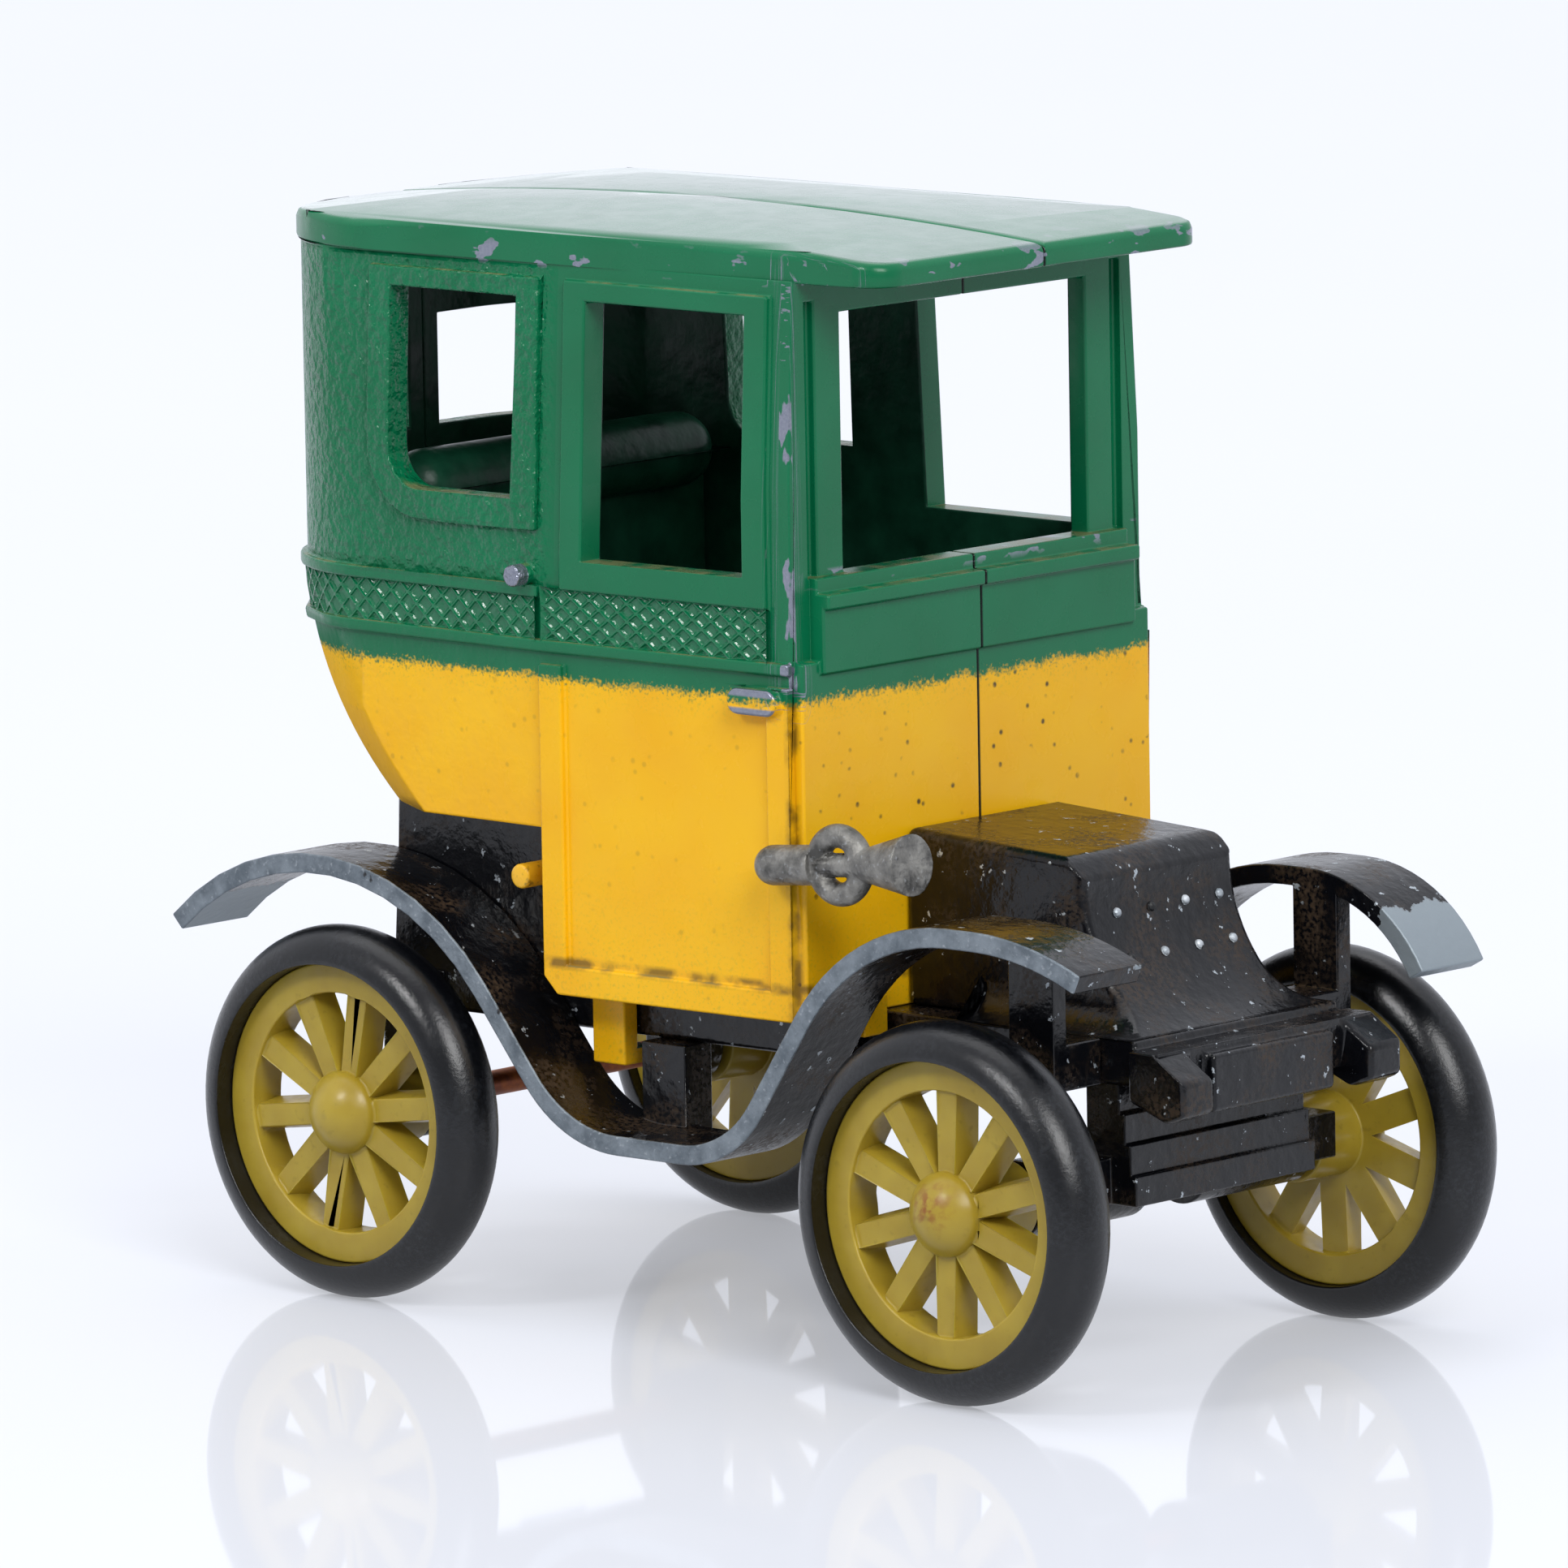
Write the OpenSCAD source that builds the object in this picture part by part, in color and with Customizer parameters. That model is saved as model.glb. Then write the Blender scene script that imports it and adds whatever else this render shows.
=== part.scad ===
// Toy taxi: a die-cast cab in two halves on a black chassis, with spoked wheels on free-turning axles.
// +X is the way it drives, +Y its left side, +Z up. The origin is on the floor, in the middle of the outline.

/* [Running gear] */
// Distance between the two axles
wheelbase = 40.1; // [38:0.1:42]
// Distance between the middles of the front tyres
front_track = 29.4; // [28.6:0.1:31]
// Distance between the middles of the rear tyres
rear_track = 30.3; // [28.6:0.1:31]
// Outer diameter of the tyres
tyre_d = 19; // [18:0.1:20]
// Diameter of the tyre's round section
tyre_section_d = 3.8; // [3.4:0.1:4]
// Outer diameter of the rim, which is also the bore of the tyre
rim_d = 15.3; // [15:0.1:16]
// Radial thickness of the rim
rim_wall = 1.55; // [1:0.05:2]
// Width of the rim
rim_w = 2.1; // [1.6:0.1:3]
// How far the rim's outer face stands outboard of the tyre's middle
rim_face = 0.8; // [0.4:0.1:1]
// Number of spokes
spoke_count = 10; // [6:1:14]
// Width of a spoke's flat outer face
spoke_w = 1.15; // [0.7:0.05:1.4]
// Depth of a spoke
spoke_h = 1.4; // [1:0.1:1.8]
// Extra width on each side of a spoke's inner face
spoke_flare = 0.25; // [0:0.05:0.4]
// Turn of the right front wheel, the left front one, the right rear one and the left rear one
wheel_turns = [18, 14, 9, 20];
// Diameter of the hub
hub_d = 4.2; // [3:0.1:5]
// How far the hub's dome stands outboard of the tyre's middle
hub_out = 2; // [1.6:0.1:2.4]
// How far the hub's boss reaches inboard of the tyre's middle
hub_in = 4; // [3.4:0.1:4.2]
// Rise of the hub's dome
dome_h = 1.2; // [0.6:0.1:1.8]
// Diameter of the axles
axle_d = 1.3; // [1:0.05:1.8]
// Radial clearance of an axle in its bearings
running_clearance = 0.05; // [0.02:0.01:0.1]
// Side play between a wheel's boss and its bearing
side_play = 0.4; // [0.2:0.1:0.8]
// Nose-up angle at which the body sits on its axles
stance = 1.5; // [0:0.1:2.5]

/* [Cab] */
// Front face of the cab, ahead of the middle of the wheelbase
cab_front = 8.6; // [8:0.1:9.4]
// Length of the cab without its roof overhang
cab_len = 38.1; // [36.5:0.1:39.5]
// Width of the cab at the front
cab_front_w = 26.2; // [25:0.1:26.6]
// Width of the cab at the post behind the door
cab_post_w = 26.8; // [25.6:0.1:28]
// Width of the cab at the rear
cab_rear_w = 26; // [25:0.1:27]
// Radius of the rear corners in plan
rear_corner_r = 9; // [6:0.5:11]
// Length of the door section, which hangs lower than the rest
door_len = 16.5; // [15.6:0.1:17.2]
// Height of the door's bottom edge
door_z = 17; // [16.6:0.1:18]
// Height of the cab's bottom edge behind the door
rear_floor_z = 25.3; // [24.5:0.1:27]
// Height where the rear wall starts to curve under
belly_z = 38; // [36:0.5:40]
// How far the rear wall has come forward at the bottom edge
belly_in = 6.3; // [4:0.1:7]
// Narrowing of each side at the top
tumblehome = 0.8; // [0:0.1:1.2]
// Height of the top of the cab's walls
cab_top = 53.5; // [52.5:0.1:55]
// Wall thickness of the cab castings
cab_wall = 1.2; // [0.9:0.05:1.5]
// How far the frames and beads stand proud
relief = 0.35; // [0.2:0.05:0.5]

/* [Windows] */
// Height of the windscreen's and the door window's sills
sill_z = 38.9; // [38:0.1:40]
// Height of the top of all side windows and the windscreen
lintel_z = 51.8; // [50:0.1:52]
// Width of the windscreen
screen_w = 18.3; // [16:0.1:19]
// Front edge of the door window, behind the cab's front
door_win_front = 2.9; // [2.5:0.1:3.2]
// Length of the door window
door_win_len = 10.6; // [9:0.1:11]
// Front edge of the quarter window, behind the cab's front
quarter_front = 18.2; // [18:0.1:18.6]
// Length of the quarter window
quarter_len = 8.6; // [7:0.1:9.4]
// Height of the quarter window's sill
quarter_sill_z = 41.7; // [41:0.1:44]
// Radius of the quarter window's lower rear corner
quarter_corner_r = 2; // [1:0.1:3]
// Width of the raised frame around a side window
frame_w = 1.5; // [1:0.1:1.6]
// Width of each rear window
rear_win_w = 7.3; // [5:0.1:8]
// Height of each rear window
rear_win_h = 5.7; // [4:0.1:7]
// Height of the rear windows' sills
rear_win_z = 42.7; // [41:0.1:45]
// Width of the post between the rear windows
rear_post_w = 2.2; // [1.6:0.1:3]

/* [Belt] */
// Height of the lower bead of the cane-work belt
belt_z = 34.2; // [33:0.1:35]
// Height of the belt behind the door
belt_h = 3.3; // [2.4:0.1:3.6]
// How far the band across the front stands out
front_band_out = 0.9; // [0.5:0.1:1.1]
// Width of the band across the front
front_band_w = 23.4; // [21:0.1:24.4]
// How far the lower front wall stands out from the windscreen's wall
front_panel_out = 0.6; // [0.3:0.1:0.8]
// Width of a bead
bead_w = 0.6; // [0.4:0.05:0.8]
// Width of the raised border round the door's lower panel
door_border_w = 1.5; // [1:0.1:2]
// Length of the door handle
handle_len = 3.2; // [2:0.1:4]
// Height of the door handle
handle_h = 1.3; // [0.8:0.1:1.6]
// How far the door handle stands out
handle_out = 0.9; // [0.6:0.1:1.2]
// Diameter of the stud behind the door
stud_d = 1.1; // [0.8:0.1:1.6]
// How far the stud stands out
stud_out = 1.2; // [0.8:0.1:1.6]
// Distance of a stud behind the door section
stud_back = 0.9; // [0.7:0.1:1.4]
// Height of a stud over the belt
stud_up = 0.5; // [0.3:0.1:1]
// Distance of a door handle behind the cab's front
handle_back = 0.4; // [0.2:0.1:0.8]
// Distance of a door handle below the belt's bead
handle_drop = 0.1; // [0:0.1:0.5]

/* [Roof] */
// Depth by which the walls reach up into the roof
roof_seat = 0.1; // [0.05:0.05:0.2]
// How far the roof reaches ahead of the cab's front
roof_front_over = 5.4; // [4:0.1:6]
// How far the roof stands out over the rear wall
roof_rear_over = 0.7; // [0.4:0.1:1]
// Width of the roof at the front
roof_front_w = 24.6; // [23.6:0.1:25.2]
// Width of the roof at the rear
roof_rear_w = 26; // [25:0.1:27]
// Distance of the groove in each front post from the cab's corner
post_groove_in = 1.3; // [1:0.1:1.8]
// Width of the groove in each front post
post_groove_w = 0.7; // [0.4:0.1:1]
// Depth of the groove in each front post
post_groove_d = 0.45; // [0.2:0.05:0.7]
// Radius of the roof's front corners
roof_corner_r = 1.8; // [1:0.1:4]
// Thickness of the roof in its middle
roof_h = 2.2; // [2:0.1:3]
// Crown radius across the roof
roof_cross_r = 120; // [90:5:200]
// Crown radius along the roof
roof_long_r = 240; // [180:10:400]

/* [Chassis] */
// Thickness of the floor plate under the door section
frame_h = 2.3; // [1.8:0.1:2.8]
// Width of the frame under the cab
frame_w_rear = 20.4; // [19:0.1:21]
// Width of the frame under the bonnet
frame_w_front = 15.4; // [14:0.1:16]
// Length of the rear box
box_len = 13.3; // [12:0.1:14.2]
// Height of the rear box's lower edge
box_z = 14.7; // [13.8:0.1:15.5]
// Wall thickness of the rear box
box_wall = 1.3; // [1:0.1:1.8]
// Thickness of the rear bearings
lug_w = 2; // [1.4:0.1:2.6]
// Metal around the axle bores
lug_wall = 1.25; // [1:0.05:1.6]
// Front of the frame's beam, ahead of the cab's front
beam_reach = 19; // [18.6:0.1:19.4]
// Width of the beam
beam_w = 16.2; // [15:0.1:17]
// Depth of the beam from front to back
beam_d = 1.8; // [1.4:0.1:2.2]
// Length of the dumb irons at the ends of the beam
iron_len = 1.8; // [1:0.1:2]
// Width of a dumb iron
iron_w = 2.2; // [1.6:0.1:2.6]
// Height of a dumb iron's end
iron_h = 1.6; // [1.2:0.1:2]
// Width of the plate in the middle of the beam
plate_w = 9.2; // [8:0.1:10]
// How far that plate stands ahead of the beam
plate_out = 0.6; // [0.3:0.1:1]
// Width of the spring block
spring_w = 13.6; // [12:0.1:15]
// Depth of the spring block from front to back
spring_d = 3.2; // [2.8:0.1:3.8]
// How far the spring block stands behind the beam's front
spring_back = 2.6; // [2:0.1:3.2]
// Height of the spring block's underside
spring_z = 8.6; // [8:0.1:9.4]
// Number of leaves in the spring block
leaf_count = 4; // [2:1:5]
// Inner end of each front bearing, from the middle
bearing_in = 2.1; // [1.6:0.1:3.2]
// Diameter of the cross pin
pin_d = 1.25; // [1:0.05:1.6]
// Clearance of the pin and the horn's peg in their holes
pin_clearance = 0.03; // [0.02:0.01:0.08]
// Height of the cross pin
pin_z = 22.6; // [22:0.1:23]
// How far the cross pin stands behind the door section
pin_back = 2.2; // [2:0.1:2.6]
// Length of the cross pin
pin_len = 26; // [24:0.2:27]
// Thickness of the cab's fixing tabs
tab_t = 1; // [0.7:0.1:1.3]
// Length of the cab's fixing tabs, front to back
tab_w = 2.2; // [1.6:0.1:3]

/* [Bonnet] */
// Width of the bonnet
bonnet_w = 11.5; // [10:0.1:12.4]
// Height of the bonnet at the cab
bonnet_rear_z = 25.9; // [25:0.1:27]
// Height of the bonnet at the nose
bonnet_nose_z = 25.3; // [24.6:0.1:25.6]
// Length of the bonnet's flat top
bonnet_top_len = 11.2; // [10.4:0.1:11.8]
// Radius of the nose's hollow curve
nose_r = 8; // [7:0.1:8.6]
// Chamfer between the flat top and the nose
nose_chamfer = 1; // [0.4:0.1:1.6]
// Wall thickness of the bonnet
bonnet_wall = 1.2; // [0.8:0.1:1.6]

/* [Mudguards] */
// Gap between the floor frame and the inner edge of a mudguard
guard_gap = 0.05; // [0.02:0.01:0.2]
// Width of the mudguard strip
guard_w = 4.8; // [4:0.1:5.4]
// Thickness of the strip
guard_t = 1; // [0.7:0.05:1.2]
// Inner radius of the rear arch
rear_arch_r = 13.9; // [13:0.1:14.4]
// Middle of the rear arch, behind the rear axle
rear_arch_back = 2.3; // [1.6:0.1:3]
// Height of the rear arch's underside at its top
rear_arch_z = 21.9; // [21.4:0.1:22.6]
// Angle at which the rear arch ends, from level
rear_tail_angle = 133; // [128:1:137]
// Underside of the running board
board_z = 9.55; // [9:0.05:10.2]
// Radius behind the running board
board_rear_r = 7.85; // [6.4:0.05:8.2]
// Radius ahead of the running board
board_front_r = 6.6; // [5.4:0.1:7]
// Rear end of the board's flat, behind the middle of the wheelbase
board_rear = 2; // [1.4:0.1:3]
// Front end of the board's flat, ahead of the middle of the wheelbase
board_front = 2.3; // [1.4:0.1:2.8]
// Inner radius of the front arch
front_arch_r = 11; // [10:0.1:11.4]
// Height of the front arch's underside at its top
front_arch_z = 22; // [21.4:0.1:22.6]
// Length of the flat on top of the front arch
front_arch_flat = 1.5; // [0.5:0.1:2]
// Radius of the right front tip
tip_r = 16; // [13:0.5:20]
// Reach of the front tips ahead of the front axle
tip_reach = 8.2; // [7:0.1:9]
// Radius of the left front tip, which is bent down further
left_tip_r = 7.6; // [7.5:0.1:16]
// Front to back width of a stay
stay_w = 2.9; // [2:0.1:3.2]
// Thickness of a stay
stay_t = 1; // [0.8:0.1:1.4]

/* [Seat] */
// Height of the bench above the cab's rear floor
bench_h = 7; // [5:0.1:8]
// Front of the bench, behind the cab's front
bench_front = 20.4; // [19.4:0.1:21.4]
// Front of the bolster, behind the cab's front
bolster_front = 26.2; // [25.4:0.1:27.4]
// Top of the bolster
bolster_top = 43.1; // [42:0.1:44]
// Diameter of the bolster
bolster_d = 3.9; // [3.2:0.1:5]
// Length of the bolster
bolster_len = 22.4; // [20:0.1:22.8]
// Gap between the seat and the cab's walls
seat_gap = 0.3; // [0.2:0.05:0.6]

/* [Horn] */
// How far the horn's middle stands out from the cab's side
horn_out = 1.5; // [1.4:0.05:1.9]
// Height of the horn's peg
horn_z = 25; // [24.2:0.1:25.6]
// Upward tilt of the horn
horn_tilt = 5; // [0:0.5:7]
// Diameter of the bulb
bulb_d = 2; // [1.6:0.1:2.1]
// Length of the bulb
bulb_len = 2.9; // [2.5:0.1:3.2]
// Front of the bulb, ahead of the cab's front
bulb_front = 2.9; // [2.6:0.1:3.2]
// Outer diameter of the loop in the tube
loop_d = 4.1; // [3.6:0.1:4.6]
// Diameter of the tube
tube_d = 1.2; // [0.8:0.1:1.4]
// Length of the bell
bell_len = 4; // [3:0.1:5]
// Diameter of the bell's mouth
bell_d = 3.1; // [2.6:0.1:3.6]
// Diameter of the peg that holds the horn
peg_d = 1.2; // [0.8:0.1:1.5]

/* [Hidden] */
$fn = 64;

GREEN = "#20784f";
BLACK = "#1b1d22";
ZINC = "#8f9aa3";
YELLOW = "#d8c040";
RUST = "#a0522d";

// a cut runs this far past the faces that it opens
past = 1;
far = 100;

// axles, in the body's own level frame
axle_z = tyre_d / 2;
axle_x = wheelbase / 2;
lift = axle_x * sin(stance);
front_axle_x = axle_x * cos(stance);
front_axle_z = axle_z - lift;
rear_axle_x = -front_axle_x;
rear_axle_z = axle_z + lift;
bearing_r = axle_d / 2 + running_clearance;
lug_r = bearing_r + lug_wall;

// cab
cab_rear = cab_front - cab_len;
door_rear = cab_front - door_len;
door_win_x = cab_front - door_win_front - door_win_len;
quarter_x = cab_front - quarter_front - quarter_len;
quarter_h = lintel_z - quarter_sill_z;
door_win_h = lintel_z - sill_z;
lintel_w = 1;
roof_rear = cab_rear - roof_rear_over;
roof_front = cab_front + roof_front_over;
roof_mid = (roof_rear + roof_front) / 2;
door_corner = 1.6;
belly_angles = [-60, -40, -20, 0, 20, 40, 60];

// chassis
frame_z = door_z - frame_h;
box_rear = door_rear - box_len;
beam_front = cab_front + beam_reach;
beam_z = frame_z - 0.6;
beam_h = door_z - 0.4 - beam_z;
spring_front = beam_front - spring_back;
rear_bearing_out = rear_track / 2 - hub_in - side_play;
front_bearing_out = front_track / 2 - hub_in - side_play;
pin_x = door_rear - pin_back;
pin_hole_r = pin_d / 2 + pin_clearance;
inner_tab_y = frame_w_rear / 2 - box_wall - 0.1 - tab_t;

// mudguard arcs: the middles of the two arches, the two bends of the board and the tip
guard_in = frame_w_rear / 2 + guard_gap;
guard_out = guard_in + guard_w;
horn_y = cab_front_w / 2 + horn_out;
rear_arch = [rear_axle_x - rear_arch_back, rear_arch_z - rear_arch_r];
board_bend_rear = [-board_rear, board_z + board_rear_r];
board_bend_front = [board_front, board_z + board_front_r];
front_arch = [axle_x, front_arch_z - front_arch_r];
// direction of the straight run that touches both an arch and a bend
function run_angle(arch, arch_r, bend, bend_r, side) =
    let (v = bend - arch)
    atan2(v[1], v[0]) + side * acos((arch_r + bend_r) / norm(v));
rear_run = run_angle(rear_arch, rear_arch_r, board_bend_rear, board_rear_r, 1);
front_run = run_angle(front_arch, front_arch_r, board_bend_front, board_front_r, -1);
arc_steps = 12;
function arc(mid, r, from, to) =
    [for (i = [0 : arc_steps]) let (a = from + (to - from) * i / arc_steps) mid + r * [cos(a), sin(a)]];
// one edge of the strip: its underside, moved outwards by t
function guard_edge(t, tip) = concat(
    arc(rear_arch, rear_arch_r + t, rear_tail_angle, rear_run),
    arc(board_bend_rear, board_rear_r - t, rear_run + 180, 270),
    arc(board_bend_front, board_front_r - t, 270, front_run + 180),
    arc(front_arch, front_arch_r + t, front_run, 90),
    arc([axle_x + front_arch_flat, front_arch_z - tip], tip + t, 90, acos((tip_reach - front_arch_flat) / tip)));
function backwards(list) = [for (i = [len(list) - 1 : -1 : 0]) list[i]];

// middle of the outline along X: from the mudguards' tails to the front tyres
tail = rear_arch + (rear_arch_r + guard_t) * [cos(rear_tail_angle), sin(rear_tail_angle)];
tail_x = tail[0] * cos(stance) - (tail[1] - axle_z) * sin(stance);
centre_x = -(tail_x + axle_x + tyre_d / 2) / 2;

// the body's level frame, set down on the axles
module on_body() {
    translate([centre_x, 0, axle_z]) rotate([0, -stance, 0]) translate([0, 0, -axle_z]) children();
}

// a shape drawn in X and Z, given a width across the car
module across(from, to) {
    translate([0, to, 0]) rotate([90, 0, 0]) linear_extrude(to - from) children();
}

// a shape drawn in Y and Z, given a length along the car
module along(from, to) {
    translate([from, 0, 0]) rotate([90, 0, 90]) linear_extrude(to - from) children();
}

// the same on both sides of the car
module both_sides() {
    children();
    mirror([0, 1, 0]) children();
}

// plan of the cab, moved outwards by g
module cab_plan(g) {
    front = cab_front_w / 2 + g;
    post = cab_post_w / 2 + g;
    rear = cab_rear_w / 2 + g;
    corner_x = cab_rear + rear_corner_r;
    corner_y = cab_rear_w / 2 - rear_corner_r;
    polygon([[cab_front + g, -front], [cab_front + g, front], [door_rear, post], [corner_x, rear],
        [corner_x, -rear], [door_rear, -post]]);
    translate([corner_x, 0]) square([2 * rear_corner_r + 2 * g, 2 * corner_y], center = true);
    for (side = [-1, 1]) translate([corner_x, side * corner_y]) circle(rear_corner_r + g);
}

// side view of the cab, moved outwards by g, with the low door section and the curve under the rear
module cab_side(g) {
    top = cab_top + roof_seat;
    polygon([[cab_front + g, door_z - g], [cab_front + g, top], [cab_rear - g, top],
        [cab_rear - g, rear_floor_z - g], [door_rear - g, rear_floor_z - g],
        [door_rear - g, door_z - g + door_corner], [door_rear - g + door_corner, door_z - g]]);
}

// what the curve under the rear takes away, seen along one direction that is turned from the rear by a
module belly_cut(a, g) {
    drop = belly_z - rear_floor_z;
    come_in = belly_in * cos(a);
    r = (drop * drop + come_in * come_in) / (2 * come_in);
    corner_x = cab_rear + rear_corner_r;
    corner_y = cab_rear_w / 2 - rear_corner_r;
    reach = -corner_x * cos(a) + corner_y * abs(sin(a)) + rear_corner_r;
    rotate([0, 0, a]) across(-far, far) difference() {
        translate([-reach - 2 * past, 0]) square([come_in + 2 * past + 2 * cab_wall, belly_z]);
        translate([r - reach, belly_z]) circle(r + g, $fn = 128);
    }
}

// front view of the cab, moved outwards by g, narrower at the top
module cab_section(g) {
    wide = cab_post_w / 2 + g;
    narrow = wide - tumblehome;
    top = cab_top + roof_seat;
    polygon([[-wide, 0], [wide, 0], [wide, belly_z], [narrow, cab_top], [narrow, top], [-narrow, top],
        [-narrow, cab_top], [-wide, belly_z]]);
}

// the cab's bulk without its roof, moved outwards by g
module cab_bulk(g) {
    difference() {
        intersection() {
            linear_extrude(far) cab_plan(g);
            across(-far, far) cab_side(g);
            along(-far, far) cab_section(g);
        }
        for (a = belly_angles) belly_cut(a, g);
    }
}

module rect(x, z, w, h) {
    translate([x, z]) square([w, h]);
}

// opening of the quarter window, moved outwards by g, with its one round corner
module quarter_shape(g) {
    r = quarter_corner_r + g;
    x = quarter_x - g;
    z = quarter_sill_z - g;
    rect(x + r, z, quarter_len + 2 * g - r, quarter_h + g + min(g, lintel_w));
    rect(x, z + r, r, quarter_h + g + min(g, lintel_w) - r);
    translate([x + r, z + r]) circle(r);
}

// opening of the door window, moved outwards by g
module door_window_shape(g) {
    rect(door_win_x - g, sill_z - g, door_win_len + 2 * g, door_win_h + g + min(g, lintel_w));
}

// outline of the door section's lower panel, moved inwards by g
module door_panel_shape(g) {
    rect(door_rear + g, door_z + g, door_len - 2 * g, belt_z - bead_w - door_z - g);
}

// everything that stands proud on a side of the cab, drawn in X and Z
module side_relief_shape() {
    difference() {
        quarter_shape(frame_w);
        quarter_shape(0);
    }
    difference() {
        door_window_shape(frame_w);
        door_window_shape(0);
    }
    rect(cab_rear - past, belt_z, door_rear - cab_rear + past, bead_w);
    rect(cab_rear - past, belt_z + belt_h - bead_w, door_rear - cab_rear + past, bead_w);
    rect(door_rear, belt_z, door_len, bead_w);
    difference() {
        door_panel_shape(0);
        door_panel_shape(door_border_w);
    }
}

// lower front wall, and the band across it with the sill's lip along its top
module front_band() {
    along(cab_front - past, cab_front + front_panel_out)
        rect(-cab_front_w / 2 + 0.1, door_z, cab_front_w - 0.2, belt_z + bead_w - door_z);
    along(cab_front - past, cab_front + front_band_out)
        rect(-front_band_w / 2, belt_z, front_band_w, sill_z - frame_w - belt_z);
    along(cab_front - past, cab_front + front_band_out + relief)
        rect(-front_band_w / 2, sill_z - frame_w, front_band_w, frame_w / 2);
    along(cab_front - past, cab_front + front_band_out / 2)
        rect(-front_band_w / 2, sill_z - frame_w / 2 - past, front_band_w, frame_w / 2 + past);
}

module roof_plan() {
    front = roof_front_w / 2;
    rear = roof_rear_w / 2;
    corner_x = cab_rear + rear_corner_r;
    corner_y = rear - rear_corner_r - roof_rear_over;
    polygon([[roof_front, -front + roof_corner_r], [roof_front, front - roof_corner_r],
        [roof_front - roof_corner_r, front], [corner_x, rear], [corner_x, -rear],
        [roof_front - roof_corner_r, -front]]);
    for (side = [-1, 1]) translate([roof_front - roof_corner_r, side * (front - roof_corner_r)])
        circle(roof_corner_r);
    translate([corner_x, 0]) square([2 * (rear_corner_r + roof_rear_over), 2 * corner_y], center = true);
    for (side = [-1, 1]) translate([corner_x, side * corner_y]) circle(rear_corner_r + roof_rear_over);
}

// the roof's crown is round along the car and rounder across it
module roof() {
    intersection() {
        translate([0, 0, cab_top]) linear_extrude(roof_h + past) roof_plan();
        across(-far, far) translate([roof_mid, cab_top + roof_h - roof_long_r]) circle(roof_long_r, $fn = 720);
        along(-far, far) translate([0, cab_top + roof_h - roof_cross_r]) circle(roof_cross_r, $fn = 360);
    }
}

// windows, and the groove down each front post
module cab_openings() {
    across(-far, far) {
        quarter_shape(0);
        door_window_shape(0);
    }
    along(cab_front - cab_wall - past, cab_front + past)
        rect(-screen_w / 2, sill_z, screen_w, lintel_z - sill_z);
    along(cab_front - post_groove_d, cab_front + past) for (side = [0, 1]) mirror([side, 0])
        rect(cab_front_w / 2 - post_groove_in - post_groove_w, sill_z, post_groove_w, cab_top - sill_z - past);
    along(cab_rear - past, cab_rear + cab_wall + past) for (side = [0, 1]) mirror([side, 0])
        rect(rear_post_w / 2, rear_win_z, rear_win_w, rear_win_h);
}

peg_x = cab_front + front_panel_out - peg_d;
module horn_peg_hole() {
    across(-far, -cab_front_w / 2 + cab_wall + past) translate([peg_x, horn_z]) circle(peg_d / 2 + pin_clearance);
}

// tabs on the right side: one bent under the frame, one over the frame's front step, one on the cross pin
outer_tab_y = frame_w_rear / 2 + 0.1;
hook_h = 0.9;
tab_len = frame_h + 1.4;
module right_tabs() {
    translate([door_rear + door_corner - 0.6, -outer_tab_y - tab_t, door_z - tab_len]) {
        cube([tab_w, tab_t, tab_len + cab_wall / 2]);
        cube([tab_w, tab_t + hook_h, hook_h]);
    }
    translate([cab_front, -frame_w_front / 2 - 0.1 - tab_w, door_z]) {
        cube([front_panel_out + tab_t, tab_w - 0.4, tab_t]);
        translate([0.1, 0, -tab_t]) cube([front_panel_out + tab_t - 0.1, tab_w - 0.4, 2 * tab_t]);
    }
    difference() {
        translate([pin_x - tab_w / 2, -inner_tab_y - tab_t, pin_z - tab_w / 2])
            cube([tab_w, tab_t, rear_floor_z - pin_z + tab_w / 2 + cab_wall / 2]);
        across(-inner_tab_y - tab_t - past, -inner_tab_y + past) translate([pin_x, pin_z]) circle(pin_hole_r);
    }
}

// the right side's handle and stud
handle_x = cab_front - handle_back - handle_len;
handle_z = belt_z - bead_w - handle_h - handle_drop;
stud_x = door_rear - stud_back;
stud_z = belt_z + belt_h + stud_up;
module right_fittings() {
    side_y = cab_front_w / 2;
    across(-side_y - handle_out, -side_y + cab_wall / 2) {
        rect(handle_x + handle_h / 2, handle_z, handle_len - handle_h, handle_h);
        for (x = [handle_h / 2, handle_len - handle_h / 2]) translate([handle_x + x, handle_z + handle_h / 2])
            circle(handle_h / 2);
    }
    across(-cab_post_w / 2 - stud_out, -cab_post_w / 2 + cab_wall / 2) translate([stud_x, stud_z])
        circle(stud_d / 2);
}

// walls, floor and roof of both halves, with the raised frames and beads
module cab_casting() {
    difference() {
        union() {
            cab_bulk(0);
            intersection() {
                cab_bulk(relief);
                union() {
                    across(-far, -1) side_relief_shape();
                    across(1, far) side_relief_shape();
                }
            }
            front_band();
        }
        cab_bulk(-cab_wall);
        cab_openings();
    }
    roof();
}

// the right half of a symmetrical casting
module right_half() {
    intersection() {
        children();
        translate([-far, -far, 0]) cube([2 * far, far, 2 * far]);
    }
}

module cab_half() {
    right_half() cab_casting();
    right_tabs();
    right_fittings();
}

module cab_right() {
    color(GREEN) on_body() difference() {
        cab_half();
        horn_peg_hole();
    }
}

module cab_left() {
    color(GREEN) on_body() mirror([0, 1, 0]) cab_half();
}

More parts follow.
